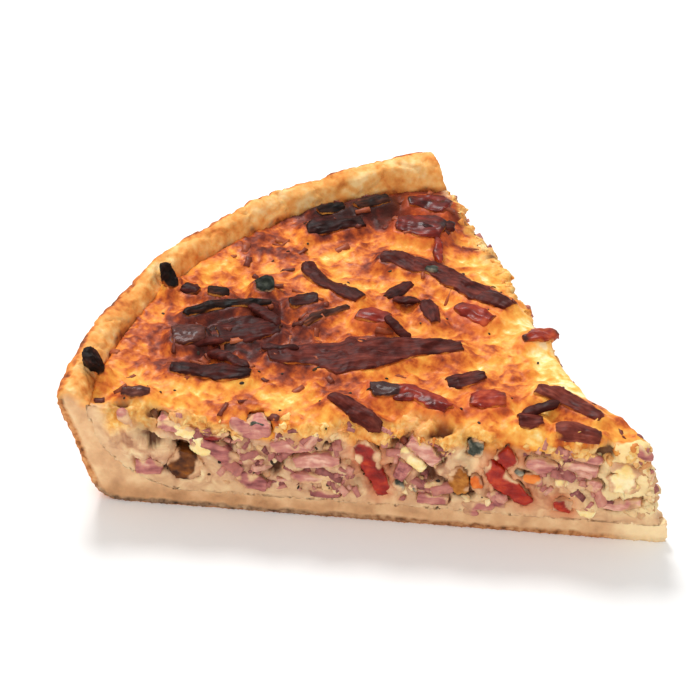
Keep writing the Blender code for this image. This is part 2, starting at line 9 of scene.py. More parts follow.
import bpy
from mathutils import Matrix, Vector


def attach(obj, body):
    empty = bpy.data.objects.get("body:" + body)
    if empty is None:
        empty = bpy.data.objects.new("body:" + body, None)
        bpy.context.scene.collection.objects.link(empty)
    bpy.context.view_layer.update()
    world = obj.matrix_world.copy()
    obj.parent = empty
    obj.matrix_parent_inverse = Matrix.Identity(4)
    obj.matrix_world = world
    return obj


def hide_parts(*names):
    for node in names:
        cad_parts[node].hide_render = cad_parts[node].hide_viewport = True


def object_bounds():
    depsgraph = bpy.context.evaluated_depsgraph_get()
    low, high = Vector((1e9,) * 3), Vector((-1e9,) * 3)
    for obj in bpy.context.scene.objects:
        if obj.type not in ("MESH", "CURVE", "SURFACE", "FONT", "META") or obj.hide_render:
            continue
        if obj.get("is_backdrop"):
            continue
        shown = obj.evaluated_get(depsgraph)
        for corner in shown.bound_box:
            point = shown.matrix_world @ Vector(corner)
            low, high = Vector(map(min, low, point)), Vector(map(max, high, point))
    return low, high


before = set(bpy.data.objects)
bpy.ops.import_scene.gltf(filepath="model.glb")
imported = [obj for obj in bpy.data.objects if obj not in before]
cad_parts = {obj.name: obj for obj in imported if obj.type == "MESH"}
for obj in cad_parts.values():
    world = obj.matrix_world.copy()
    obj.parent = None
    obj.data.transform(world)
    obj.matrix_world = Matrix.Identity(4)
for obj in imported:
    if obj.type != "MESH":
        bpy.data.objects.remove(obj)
cad_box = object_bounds()
print("solids in the frame:", len(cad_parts))

# %% [markdown]
# ## Places on the slice
#
# A cook measures a slice from its tip, so that is how places are written here: millimetres from
# the tip of the pastry, at the level of the table. The two cuts leave the tip 60 degrees apart.
# One function turns mesh points into such places, and another puts them back.

# %% Measures from the tip
import math

import bmesh
import bpy
import numpy as np
from mathutils import Matrix, Vector, noise
from mathutils.bvhtree import BVHTree

MM = 0.001
UP, DOWN = Vector((0.0, 0.0, 1.0)), Vector((0.0, 0.0, -1.0))
TIP_TO_MIDDLE = np.array((-70.07, -1.6, 0.0))
CUT_NEAR = math.radians(210.0)
CUT_FAR = math.radians(150.0)
NEAR_ALONG = np.array((math.cos(CUT_NEAR), math.sin(CUT_NEAR), 0.0))
NEAR_OUT = np.array((-NEAR_ALONG[1], NEAR_ALONG[0], 0.0))
FAR_OUT = np.array((math.sin(CUT_FAR), -math.cos(CUT_FAR), 0.0))
# Distance from the tip, then how far the far cut leans in there
FAR_CUT_LEAN = ((4.0, 0.0), (12.0, 1.2), (17.0, 2.4), (24.0, 5.8), (38.0, 5.2), (50.0, 4.0),
                (66.0, 3.8), (92.0, 2.2), (105.0, 1.0), (113.0, 0.2))


def places_of(mesh):
    """Every vertex as a place seen from the tip, in millimetres."""
    flat = np.empty(len(mesh.vertices) * 3, np.float32)
    mesh.vertices.foreach_get("co", flat)
    return flat.reshape(-1, 3).astype(float) / MM + TIP_TO_MIDDLE


def put_back(mesh, places):
    mesh.vertices.foreach_set("co", ((places - TIP_TO_MIDDLE) * MM).astype(np.float32).ravel())
    mesh.update()


def inside_cuts(places):
    """How far each place lies inside the near cut and inside the far cut, which leans in."""
    lean = np.interp(np.hypot(places[:, 0], places[:, 1]), *zip(*FAR_CUT_LEAN))
    return -(places @ NEAR_OUT), -(places @ FAR_OUT) - lean


def normals_of(mesh):
    flat = np.empty(len(mesh.vertices) * 3, np.float32)
    mesh.vertex_normals.foreach_get("vector", flat)
    return flat.reshape(-1, 3).astype(float)


def paint(mesh, name, values):
    """Keeps one number, or one triple, for each vertex, for the finish to read."""
    values = np.asarray(values, np.float32)
    kind, key = ("FLOAT_VECTOR", "vector") if values.ndim == 2 else ("FLOAT", "value")
    mesh.attributes.new(name, kind, "POINT").data.foreach_set(key, values.ravel())


print("the slice spans", [round(1000 * (b - a), 1) for a, b in zip(*cad_box)], "mm")

# %% [markdown]
# ## Uneven surfaces
#
# Food has no flat face and no even edge. Three kinds of unevenness make all of it: soft bumps,
# rounded cells like curds, and a smooth step from one state to another, such as from raw to
# browned. Each takes its size in millimetres, so a crumb can be given a crumb's size.


# %% Bumps, cells and steps
def bumps(places, size, shift=0.0):
    """Soft random heights from -1 to 1, about size millimetres from bump to bump."""
    return np.array([noise.noise(row) for row in (places / size + shift).tolist()])


def cells(places, size, shift=0.0):
    """Rounded cells: 0.5 at the middle of each and falling towards its border."""
    rows = (places / size + shift).tolist()
    return 0.5 - np.array([noise.voronoi(row)[0][0] for row in rows])


def layered(places, layers):
    """Several kinds of bumps added up, each given as its depth, size and shift."""
    return sum(depth * bumps(places, size, shift) for depth, size, shift in layers)


def step_up(values, low, high):
    share = np.clip((values - low) / (high - low), 0.0, 1.0)
    return share * share * (3.0 - 2.0 * share)


def in_reach(places, x, y, radius):
    """1 at a spot on the slice, fading to 0 at about twice the radius."""
    return np.exp(-((places[:, 0] - x) ** 2 + (places[:, 1] - y) ** 2) / radius**2)


trial = bumps(np.arange(60.0).reshape(20, 3) / 7.0, 4.0)
print("bumps on a trial line run from", trial.min().round(2), "to", trial.max().round(2))

# %% [markdown]
# ## From a plain solid to a fine form
#
# Each solid has few faces. A voxel remesh wraps it in small even squares that can take relief.
# It rounds the hard corners a little, which suits baked food, and it keeps size and place. Half
# a millimetre is about two pixels of the picture, and finer grain is left to the finish.


# %% Rebuild a solid with fine faces
def clean_copy(node):
    """A loose copy of a solid's mesh, with its corners merged."""
    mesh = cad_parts[node].data.copy()
    form = bmesh.new()
    form.from_mesh(mesh)
    bmesh.ops.remove_doubles(form, verts=form.verts, dist=0.01 * MM)
    form.to_mesh(mesh)
    form.free()
    mesh.materials.clear()
    return mesh


def link_piece(name, mesh):
    piece = bpy.data.objects.new(name, mesh)
    bpy.context.scene.collection.objects.link(piece)
    return piece


def settle(piece):
    """Applies the piece's modifiers to its mesh."""
    graph = bpy.context.evaluated_depsgraph_get()
    mesh = bpy.data.meshes.new_from_object(piece.evaluated_get(graph))
    piece.modifiers.clear()
    piece.data = mesh
    return mesh


def even_faces(piece, cell):
    """Wraps a piece in even squares, cell millimetres wide."""
    wrap = piece.modifiers.new("even faces", "REMESH")
    wrap.mode = "VOXEL"
    wrap.voxel_size = cell * MM
    wrap.use_smooth_shade = True
    settle(piece)


def fine_form(name, node, cell):
    piece = link_piece(name, clean_copy(node))
    even_faces(piece, cell)
    return piece


def finish_piece(piece, slot, *nodes):
    """Parents a finished piece to the slice's root and hides the solids that it takes the place of.
    """
    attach(piece, "root")
    if nodes:
        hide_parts(*nodes)


def search_tree(nodes):
    """One search tree over several solids, in places seen from the tip."""
    corners, faces = [], []
    for node in nodes:
        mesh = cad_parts[node].data
        faces += [[v + len(corners) for v in face.vertices] for face in mesh.polygons]
        corners += places_of(mesh).tolist()
    return BVHTree.FromPolygons(corners, faces)


def nodes_like(*starts):
    return sorted(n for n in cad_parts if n.startswith(starts))


print("solids on the top:", sum("_top_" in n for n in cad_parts))
print("solids in the cut:", sum("_cut_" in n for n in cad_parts))

# %% [markdown]
# ## A finish as a recipe
#
# Every finish is a small graph of nodes ending in one Principled shader. Colours are written as
# on a paint card and turned to light values by one function. One helper adds a node, sets it up
# and wires it, so that each recipe below reads as a list of steps.


# %% Helpers for finishes
def linear(card):
    """A colour such as #D8B488 as the amount of red, green and blue light."""
    parts = [int(card[i : i + 2], 16) / 255.0 for i in (1, 3, 5)]
    light = [p / 12.92 if p <= 0.04045 else ((p + 0.055) / 1.055) ** 2.4 for p in parts]
    return (*light, 1.0)


def add_node(tree, kind, inputs=None, stops=None, **settings):
    """Adds a node. An input is a plain value, or another node or output to wire in."""
    node = tree.nodes.new(kind)
    for name, value in settings.items():
        setattr(node, name, value)
    for key, value in (inputs or {}).items():
        if isinstance(value, bpy.types.Node):
            value = next(output for output in value.outputs if output.enabled)
        if isinstance(value, bpy.types.NodeSocket):
            tree.links.new(value, node.inputs[key])
        else:
            node.inputs[key].default_value = value
    if stops:
        ramp = node.color_ramp
        while len(ramp.elements) < len(stops):
            ramp.elements.new(1.0)
        for element, (place, card) in zip(ramp.elements, stops):
            element.position = place
            element.color = linear(card)
    return node


def per_mm(size):
    """The pattern scale that repeats about once in that many millimetres."""
    return 1.0 / (size * MM)


def new_finish(name, **constants):
    """An empty finish: its node tree, its shader and the places that its patterns read."""
    finish = bpy.data.materials.new(name)
    finish.use_nodes = True
    tree = finish.node_tree
    shader = tree.nodes["Principled BSDF"]
    for key, value in constants.items():
        shader.inputs[key.replace("_", " ")].default_value = value
    return finish, tree, shader, add_node(tree, "ShaderNodeTexCoord").outputs["Object"]


print("pale pastry as light:", [round(share, 2) for share in linear("#F8CE8E")[:3]])

# %% [markdown]
# ## Camera, floor and light
#
# The slice is seen from its right front, about 35 degrees above the table, through a long lens.
# A white card lies under it. The light is soft: a large lamp above and a little behind, so that
# each strip of ham throws a short shadow towards the viewer, and a bright room all round.

# %% Camera
CAMERA_AT = Vector((0.30162, -0.43641, 0.39505))
CAMERA_AIM = Vector((-0.02192, 0.00301, 0.01426))
CAMERA_ROLL = math.radians(0.485)
LENS_MM = 141.62
SENSOR_MM = 36.0

camera = bpy.data.objects.new("camera", bpy.data.cameras.new("camera"))
bpy.context.scene.collection.objects.link(camera)
camera.data.lens = LENS_MM
camera.data.sensor_width = SENSOR_MM
camera.data.clip_start, camera.data.clip_end = 0.05, 10.0
camera.location = CAMERA_AT
look = (CAMERA_AIM - CAMERA_AT).to_track_quat("-Z", "Y")
camera.rotation_euler = (look.to_matrix() @ Matrix.Rotation(CAMERA_ROLL, 3, "Z")).to_euler()
bpy.context.scene.camera = camera
bpy.context.scene.view_settings.view_transform = "Standard"
print("camera to slice:", round((CAMERA_AIM - CAMERA_AT).length, 3), "m")

# %% Floor of matt white card, which shows a shadow but no gloss
FLOOR_REACH = 3.0
floor_form = bmesh.new()
bmesh.ops.create_grid(floor_form, x_segments=8, y_segments=8, size=FLOOR_REACH)
floor_mesh = bpy.data.meshes.new("floor")
floor_form.to_mesh(floor_mesh)
floor_form.free()
floor = link_piece("floor", floor_mesh)
card, tree, shader, spots = new_finish("white_card", Roughness=0.9, Specular_IOR_Level=0.2)
grain = add_node(tree, "ShaderNodeTexNoise", {"Vector": spots, "Scale": per_mm(40.0)})
tone = add_node(
    tree, "ShaderNodeValToRGB", {0: grain.outputs[0]}, stops=[(0.0, "#F6F6F5"), (1.0, "#FBFBFA")]
)
tree.links.new(tone.outputs[0], shader.inputs["Base Color"])
floor_mesh.materials.append(card)
floor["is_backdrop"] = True
print("floor:", 2 * FLOOR_REACH, "m square")

# %% Lamps and room
# Name, place and width in metres, power in watts
LAMPS = (
    ("window", (-0.62, 0.42, 0.95), 0.42, 11.0),
    ("front_card", (0.35, -0.95, 0.55), 0.8, 3.2),
)
ROOM_LIGHT = 0.7


def add_lamp(name, place, size, power):
    lamp = bpy.data.lights.new(name, "AREA")
    lamp.shape = "DISK"
    lamp.size = size
    lamp.energy = power
    holder = bpy.data.objects.new(name, lamp)
    holder.location = place
    holder.rotation_euler = (-Vector(place)).to_track_quat("-Z", "Y").to_euler()
    bpy.context.scene.collection.objects.link(holder)


for lamp_measures in LAMPS:
    add_lamp(*lamp_measures)
world = bpy.data.worlds.new("room")
world.use_nodes = True
world.node_tree.nodes["Background"].inputs["Color"].default_value = (1.0, 1.0, 1.0, 1.0)
world.node_tree.nodes["Background"].inputs["Strength"].default_value = ROOM_LIGHT
bpy.context.scene.world = world
print("lamps:", [name for name, *_ in LAMPS])

# %% [markdown]
# ## Where the oven browned the slice
#
# On top the oven puffed the custard, wrinkled it and browned it in patches: pale at the tip and
# the far side, yellow and orange in the middle, and nearly black-brown towards the rim. The
# patches are given as spots on the slice with a level each, from 0 for pale to 1 for burnt, and
# each place takes the levels of the spots round it. Soft noise makes the outlines later.

# %% Where the oven browned the top
# Place of each spot and its radius in millimetres, then its level
BROWNED = (
    (-124.0, 32.0, 7.0, 0.95), (-114.0, 42.0, 8.0, 0.95), (-104.0, 54.0, 8.0, 0.80),
    (-95.0, 52.0, 6.0, 0.72), (-96.0, 36.0, 6.0, 0.46), (-104.0, 45.0, 5.0, 0.66),
    (-123.6, 9.0, 6.0, 0.64), (-129.0, 6.0, 4.0, 0.62), (-126.0, -6.0, 6.0, 0.44),
    (-124.0, -35.0, 7.0, 0.52), (-126.0, -48.0, 6.0, 0.48), (-129.5, -44.0, 3.5, 0.88),
    (-104.0, -19.0, 9.0, 0.88), (-113.0, -28.0, 7.0, 0.90), (-107.0, -41.0, 5.0, 0.76),
    (-91.5, -26.0, 6.0, 0.72), (-103.0, -50.0, 6.0, 0.34), (-92.0, -42.0, 7.0, 0.40),
    (-114.0, 0.0, 7.0, 0.46), (-104.0, 10.0, 7.0, 0.42), (-109.0, 22.0, 7.0, 0.50),
    (-99.0, 20.0, 4.0, 0.58), (-84.0, 10.0, 5.0, 0.52), (-78.0, 37.0, 6.0, 0.36),
    (-88.0, 43.0, 4.0, 0.58), (-84.0, 33.0, 4.0, 0.52), (-69.0, 30.0, 6.0, 0.30),
    (-55.0, 20.0, 6.0, 0.08), (-43.0, 16.0, 7.0, 0.02), (-31.0, 8.0, 6.0, 0.14),
    (-62.0, -16.0, 6.0, 0.32), (-77.0, -27.0, 5.0, 0.54), (-80.0, -36.0, 6.0, 0.36),
    (-48.0, -2.0, 6.0, 0.42), (-34.0, -14.0, 6.0, 0.30), (-52.0, 9.0, 5.0, 0.44),
    (-86.0, -7.0, 5.0, 0.44), (-100.0, -6.0, 4.0, 0.54), (-20.0, 1.0, 6.0, 0.40),
    (-10.0, -2.0, 5.0, 0.32), (-66.0, -39.0, 6.0, 0.38), (-72.0, 4.0, 5.0, 0.46),
    (-83.0, -31.5, 3.0, 0.78),
)
# Level of the open custard between the spots, and how much it counts against them
OPEN_LEVEL = 0.42
OPEN_WEIGHT = 0.12


def oven_level(places):
    """How far the oven browned each place, by the nearest browned spots."""
    total = np.full(len(places), OPEN_LEVEL * OPEN_WEIGHT)
    weight = np.full(len(places), OPEN_WEIGHT)
    for x, y, radius, level in BROWNED:
        near = in_reach(places, x, y, radius)
        total += near * level
        weight += near
    return total / weight


print("browned spots:", len(BROWNED))

# %% [markdown]
# ## The pastry shell
#
# Shortcrust is rolled, pressed into a tin and baked. Its outside touched the hot tin, so it is a
# brown, finely pitted skin about two millimetres deep. Its rim stood free and is golden, with
# darker patches. The cut shows pale dense dough inside. The fine form takes its depths from
# search trees: how far a point is under the outer skin, under the rim and from the custard, and
# the finish mixes skin, dough and browned overflow by them.

# %% Find the pastry's skin, rim and cut faces
PASTRY_CELL = 0.6
RIM_FROM = 26.5


def at_cut(out, inside, way, turned=(0.45, 0.8), belt=1.6, fade=0.8):
    """1 where a surface is turned to a cut and lies within a belt of it."""
    return step_up(out @ way, *turned) * step_up(belt - inside, 0.0, fade)


pastry = fine_form("pastry_shell", "crust", PASTRY_CELL)
mesh = pastry.data
spot, out = places_of(mesh), normals_of(mesh)
reach = np.hypot(spot[:, 0], spot[:, 1])
away = spot * (1.0, 1.0, 0.0) / np.maximum(reach, 1.0)[:, None]
near_in, far_in = inside_cuts(spot)
on_cut = np.maximum(at_cut(out, near_in, NEAR_OUT), at_cut(out, far_in, FAR_OUT))
outer = ((out * away).sum(1) > 0.35) | (out[:, 2] < -0.6)
rim_top = (out[:, 2] > 0.3) & (spot[:, 2] > RIM_FROM)


def mesh_tree(places, mesh, wanted=None):
    """A search tree over a mesh, or over the faces whose corners are all wanted."""
    faces = [tuple(f.vertices) for f in mesh.polygons]
    if wanted is not None:
        faces = [f for f in faces if all(wanted[v] for v in f)]
    return BVHTree.FromPolygons(places.tolist(), faces)


def gaps_to(tree, places, most=1e4):
    """How far each place is from what the tree holds, or most if it is farther."""
    found = (tree.find_nearest(row, most)[3] for row in places.tolist())
    return np.array([most if gap is None else gap for gap in found])


flat_cut = on_cut > 0.5
under_skin = gaps_to(mesh_tree(spot, mesh, outer & ~flat_cut), spot)
under_rim = gaps_to(mesh_tree(spot, mesh, rim_top & ~flat_cut), spot)
to_custard = gaps_to(search_tree(["filling"]), spot, 12.0)
print("pastry faces:", len(mesh.polygons), "points on a cut:", int(flat_cut.sum()))

# %% Give the pastry its relief
# Depth, size and shift of each layer of bumps, in millimetres
SKIN_FLAKES = ((0.34, 3.4, 0.0), (0.2, 1.5, 4.0))
DOUGH_BUMPS = ((0.16, 4.5, 2.0), (0.1, 1.4, 6.0))
SKIN_PIT, DOUGH_PIT, RIM_CRACK = 0.5, 0.3, 0.5
CRUMB_BELT, CRUMB_DEPTH = 2.6, 0.3
flaky = layered(spot, SKIN_FLAKES)
flaky -= SKIN_PIT * step_up(bumps(spot, 2.2, 8.0), 0.3, 0.6)
calm = layered(spot, DOUGH_BUMPS)
calm -= DOUGH_PIT * step_up(bumps(spot * (1.0, 1.0, 2.5), 3.0, 5.0), 0.42, 0.6)
crumbly = step_up(CRUMB_BELT - under_skin, 0.0, 0.8) * CRUMB_DEPTH * bumps(spot, 1.1, 1.0)
push = (1.0 - on_cut) * flaky * step_up(spot[:, 2], 0.3, 2.0) + on_cut * (calm + crumbly)
rim_wave = step_up(spot[:, 2], 26.0, 30.0) * (1.0 - on_cut)
push += rim_wave * (0.4 * bumps(spot, 6.0, 3.0) + 0.25 * cells(spot, 2.6, 1.0))
push -= rim_wave * RIM_CRACK * step_up(0.12 - np.abs(bumps(spot, 7.0, 12.0)), 0.0, 0.1)


# How deep the rounded lip is, and how far it is pushed into its neighbour, in millimetres
LIP, OVERLAP = 1.2, 0.4


def square_up(places, out, share):
    """Draws the rounded lip of a cut face out to the cut, and a little into its neighbour."""
    for inside, way in zip(inside_cuts(places), (NEAR_OUT, FAR_OUT)):
        lip = (inside > 0.0) * step_up(LIP - inside, 0.0, 0.4) * share
        sideways = out - (out @ way)[:, None] * way
        places = places + way * (inside * lip)[:, None] + sideways * (OVERLAP * lip)[:, None]
    return places


SEAM_BELT = 2.0
seam = step_up(SEAM_BELT - to_custard, 0.0, 0.8)
put_back(mesh, square_up(spot + out * push[:, None], out, seam))
print("pastry relief from", push.min().round(2), "to", push.max().round(2), "mm")

# %% Note what the finish needs to know about each place
TOAST_LEVEL = 0.28
TOAST_PATCHES = ((0.34, 9.0, 2.0), (0.3, 3.5, 7.0), (0.16, 1.4, 3.0))
toast = TOAST_LEVEL + layered(spot, TOAST_PATCHES)
toast += 0.3 * step_up(26.0 - spot[:, 2], 0.0, 8.0)
toast += 0.4 * step_up(0.9 - under_skin, 0.0, 0.9) * step_up(spot[:, 2], 27.0, 30.0)
spill = step_up(1.6 + 1.8 * bumps(spot, 4.5, 5.0) - to_custard, 0.0, 1.6)
spill *= step_up(oven_level(spot), 0.34, 0.6) * (1.0 - on_cut)
inner_wall = step_up(1.2 - to_custard, 0.0, 0.5) * step_up(24.0 - spot[:, 2], 0.0, 3.0)
paint(mesh, "on_cut", np.maximum(on_cut, inner_wall))
paint(mesh, "under_skin", under_skin)
paint(mesh, "under_rim", under_rim)
low_down = step_up(6.5 - spot[:, 2] + bumps(spot, 6.0, 9.0), 0.0, 3.5)
from_tip = 0.25 * step_up(reach, 5.0, 26.0) + 0.75 * step_up(reach, 20.0, 110.0)
paint(mesh, "underside", low_down * from_tip)
paint(mesh, "pale_tip", 0.7 * step_up(16.0 - reach, 0.0, 9.0))
paint(mesh, "toast", toast)
paint(mesh, "spill", spill)
print("browned by the tin, on average:", toast.mean().round(2))

# %% Finish of shortcrust pastry, baked in a tin: dry and mealy, so hardly any gloss
pastry_finish, tree, shader, spots = new_finish(
    "baked_shortcrust", Roughness=0.75, Specular_IOR_Level=0.18,
    Subsurface_Weight=0.08, Subsurface_Scale=0.002,
)
speck = add_node(tree, "ShaderNodeTexNoise", {"Vector": spots, "Scale": per_mm(1.6), "Detail": 6.0})
patch = add_node(tree, "ShaderNodeTexNoise", {"Vector": spots, "Scale": per_mm(5.0), "Detail": 3.0})
known = {
    name: add_node(tree, "ShaderNodeAttribute", attribute_name=name)
    for name in ("on_cut", "under_skin", "under_rim", "underside", "toast", "spill", "pale_tip")
}
toasted = add_node(tree, "ShaderNodeMath", {0: speck, 1: 0.75, 2: known["toast"]},
                   operation="MULTIPLY_ADD")
tone = add_node(tree, "ShaderNodeMath", {0: toasted, 1: 0.36}, operation="SUBTRACT")
skin = add_node(
    tree, "ShaderNodeValToRGB", {0: tone},
    stops=[(0.0, "#F8CE8E"), (0.22, "#F2B468"), (0.42, "#E89A4C"), (0.6, "#D47C38"),
           (0.78, "#A8582A"), (1.0, "#62341A")],
)
overflow = add_node(tree, "ShaderNodeValToRGB", {0: speck},
                    stops=[(0.3, "#6A2C16"), (0.5, "#B4602A"), (0.7, "#DE8A3C")])
skin = add_node(tree, "ShaderNodeMix", {0: known["spill"], 6: skin, 7: overflow}, data_type="RGBA")
wall_dough = add_node(
    tree, "ShaderNodeValToRGB", {0: patch},
    stops=[(0.25, "#C2926A"), (0.45, "#DCAC7E"), (0.62, "#EAC292"), (0.8, "#F2D2A0")],
)
base_dough = add_node(tree, "ShaderNodeValToRGB", {0: patch},
                      stops=[(0.3, "#B08058"), (0.5, "#CE9A6C"), (0.7, "#E4B486")])
dough = add_node(tree, "ShaderNodeMix", {0: known["underside"], 6: wall_dough, 7: base_dough},
                 data_type="RGBA")
wall_crumb = add_node(
    tree, "ShaderNodeValToRGB", {0: speck},
    stops=[(0.3, "#6E3F22"), (0.42, "#AC6A3A"), (0.55, "#CB8A54"), (0.7, "#DBA26C")],
)
base_crumb = add_node(
    tree, "ShaderNodeValToRGB", {0: speck},
    stops=[(0.3, "#423026"), (0.42, "#7A5C44"), (0.55, "#9C7A5C"), (0.7, "#BC9874")],
)
crumb = add_node(tree, "ShaderNodeMix", {0: known["underside"], 6: wall_crumb, 7: base_crumb},
                 data_type="RGBA")
ragged = add_node(tree, "ShaderNodeMath", {0: patch, 1: -2.4, 2: known["under_skin"]},
                  operation="MULTIPLY_ADD")
inside = add_node(tree, "ShaderNodeMapRange", {"Value": ragged, "From Min": -0.1, "From Max": 0.7})
cut_dough = add_node(tree, "ShaderNodeMix", {0: inside, 6: crumb, 7: dough}, data_type="RGBA")
golden = add_node(tree, "ShaderNodeMapRange",
                  {"Value": known["under_rim"], "From Min": 2.4, "From Max": 0.4})
cut_colour = add_node(tree, "ShaderNodeMix", {0: golden, 6: cut_dough, 7: skin}, data_type="RGBA")
colour = add_node(tree, "ShaderNodeMix", {0: known["on_cut"], 6: skin, 7: cut_colour},
                  data_type="RGBA")
colour = add_node(tree, "ShaderNodeMix", {0: known["pale_tip"], 6: colour, 7: linear("#FFE6B4")},
                  data_type="RGBA")
tree.links.new(colour.outputs[2], shader.inputs["Base Color"])
meal = add_node(tree, "ShaderNodeTexNoise", {"Vector": spots, "Scale": per_mm(0.7), "Detail": 4.0})
bump = add_node(tree, "ShaderNodeBump", {"Strength": 0.6, "Distance": 0.25 * MM, "Height": meal})
tree.links.new(bump.outputs[0], shader.inputs["Normal"])
mesh.materials.append(pastry_finish)
finish_piece(pastry, "pastry", "crust")

# %% [markdown]
# ## The custard
#
# Egg custard with melted cheese sets as a soft block. Its top is a thin baked skin with soft
# ridges, darkest where they stand highest. At the cut it broke into curds with pits between
# them, and only near the pastry it stayed whole and clings to the dough. The line where the
# baked top gives way to the broken side is uneven: it is a short list of heights along the cut.

# %% Shape the custard
# Distance from the tip along the near cut, then the height where the baked top ends
BREAK_LINE = (
    (0.0, 27.0), (8.0, 28.0), (17.0, 25.5), (22.7, 25.1), (28.0, 22.8), (36.7, 23.8),
    (44.5, 28.7), (53.0, 28.7), (60.3, 30.8), (65.0, 27.3), (84.2, 25.9), (92.1, 20.9),
    (98.4, 22.9), (110.9, 27.0), (120.0, 27.5), (134.0, 28.0),
)
# How much lower the broken face reaches for each millimetre inside the cut
RISE_PER_MM = 0.67
# Distance from the tip, then how far the far side swells out there
FAR_BULGE = ((8.0, 0.4), (25.0, 2.4), (42.0, 3.6), (60.0, 3.4), (85.0, 3.0), (100.0, 1.8),
             (116.0, 0.0))
FAR_BREAK, TIP_BREAK = 26.2, 27.4
TIP_BREAK_FROM = 4.5

CUSTARD_CELL = 0.58
CURD_SIZE, CRUMB_SIZE = 5.2, 2.3
CURD_DEPTH, CRUMB_HEIGHT, GRIT_DEPTH = 2.4, 1.3, 0.5
PIT_IN_CUT, MORE_PIT_NEAR = 0.8, 2.2
# Depth, size and shift of each layer of bumps, in millimetres
BREAK_RAGGED = ((0.9, 3.0, 11.0), (0.5, 1.2, 5.0))

custard = fine_form("custard_filling", "filling", CUSTARD_CELL)
mesh = custard.data
spot, out = places_of(mesh), normals_of(mesh)
near_in, far_in = inside_cuts(spot)
along = spot @ NEAR_ALONG
pastry_tree = mesh_tree(places_of(pastry.data), pastry.data)
to_pastry = gaps_to(pastry_tree, spot, 7.5)
line = np.interp(along, *zip(*BREAK_LINE))
ragged = layered(spot, BREAK_RAGGED)
broken = np.maximum.reduce((
    step_up(line - spot[:, 2] - RISE_PER_MM * np.maximum(near_in, 0.0) + ragged, -0.5, 0.5),
    step_up(FAR_BREAK - spot[:, 2] - RISE_PER_MM * np.maximum(far_in, 0.0) + ragged, -0.5, 0.5),
    step_up(TIP_BREAK - spot[:, 2] - RISE_PER_MM * (-spot[:, 0] - TIP_BREAK_FROM) + ragged,
            -0.5, 0.5),
))
loose = broken * step_up(to_pastry + bumps(spot, 4.0, 13.0), 0.8, 4.0)
bent = spot + 1.2 * np.column_stack([bumps(spot, 4.0, shift) for shift in (20.0, 24.0, 28.0)])
curd = cells(bent, CURD_SIZE)
# Pits of the broken face: sunk into the relief below, and painted dark by the finish as painted shade
pit = step_up(bumps(bent, 5.0, 7.0), 0.18, 0.5)
near_side = step_up(out @ NEAR_OUT, 0.0, 0.4)
crumb = cells(bent, CRUMB_SIZE, 3.0)
push = loose * (CURD_DEPTH * curd + CRUMB_HEIGHT * crumb + GRIT_DEPTH * bumps(spot, 0.9))
push += loose * (0.7 - (PIT_IN_CUT + MORE_PIT_NEAR * near_side) * pit)
moved = spot + out * push[:, None]
far_side = step_up(out @ FAR_OUT, -0.4, 0.4) * step_up(3.0 - far_in, 0.0, 2.0)
bulge = np.interp(np.hypot(spot[:, 0], spot[:, 1]), *zip(*FAR_BULGE))
moved += FAR_OUT * (far_side * bulge * step_up(spot[:, 2], 8.0, 24.0))[:, None]
print("custard faces:", len(mesh.polygons))

# %% Puff up the custard's top
PUFFS = ((0.6, 8.0, 3.0), (0.16, 0.95, 6.0))
RIDGE_HEIGHT, FINE_RIDGE_HEIGHT = 0.55, 0.4


def ridges(places, size, shift):
    """Wrinkles where bumps pass through zero, 0.5 at their crest."""
    return 0.5 - np.abs(bumps(places, size, shift)) * 2.2


on_top = (1.0 - broken) * step_up(out[:, 2], 0.2, 0.6)
ridge = ridges(bent, 5.6, 9.0)
fine_ridge = ridges(bent, 2.4, 15.0)
puff = layered(spot, PUFFS) + RIDGE_HEIGHT * ridge + FINE_RIDGE_HEIGHT * fine_ridge
moved[:, 2] += on_top * puff
print("puffs from", puff.min().round(2), "to", puff.max().round(2), "mm")

# %% [markdown]
# The strips on top did not just land there: custard set round them while it baked. So the
# custard's top climbs up the side of every piece that lies on it, and in a few places it runs
# over an edge. A search tree over the pieces tells each point how near it is. Where the custard
# meets the pastry the two baked together, so there it is drawn out until it touches the dough.

# %% Let the custard set round the pieces and onto the pastry
TOP_NODES = [n for n in nodes_like("") if "_top_" in n]
# How high the custard climbs a piece, how raggedly, and how far off it starts to rise
CLIMB, CLIMB_REACH = 2.2, 2.0
CLIMB_RAGGED = ((0.9, 4.0, 31.0), (0.3, 1.4, 33.0))
# How far a piece's top stays above the custard, and how high the custard stands inside a piece
PROUD, INSIDE_SHARE = 0.6, 0.7
LEAST_LIFT, MOST_LIFT = -0.6, 3.2
# Rays that look for a piece over a point, and for the top of the piece beside it
RAY_START, RAY_REACH, NEAR_PIECE, INWARD = 1.5, 9.0, 6.0, 0.6
# How near the pastry the custard is drawn to it, and by what share of the way
CLING_REACH, CLING_RATE = 3.0, 0.24
strips = search_tree(TOP_NODES)
lift = np.zeros(len(spot))
climb = CLIMB + layered(spot, CLIMB_RAGGED)
for i in np.flatnonzero(on_top > 0.2):
    place = Vector(moved[i])
    over = strips.ray_cast(place - RAY_START * UP, UP, RAY_REACH)[0]
    if over is not None:
        roof = strips.ray_cast(over + RAY_REACH * UP, DOWN, RAY_REACH)[0]
        lift[i] = over.z + min(INSIDE_SHARE * (roof.z - over.z), 0.8 * climb[i]) - place.z
        continue
    edge = strips.find_nearest(place, NEAR_PIECE)[0]
    if edge is not None:
        aside = Vector((edge.x - place.x, edge.y - place.y, 0.0))
        inner = edge + aside.normalized() * INWARD + RAY_REACH * UP
        roof = strips.ray_cast(inner, DOWN, RAY_REACH + 3.0)[0]
        level = min(edge.z, place.z + 2.0) + climb[i]
        if roof is not None:
            level = min(level, roof.z - PROUD + 0.4 * climb[i] - 0.4 * CLIMB)
        fade = math.exp(-((aside.length / CLIMB_REACH) ** 2))
        lift[i] = max(0.0, level - place.z) * fade
moved[:, 2] += np.clip(lift, LEAST_LIFT, MOST_LIFT) * on_top
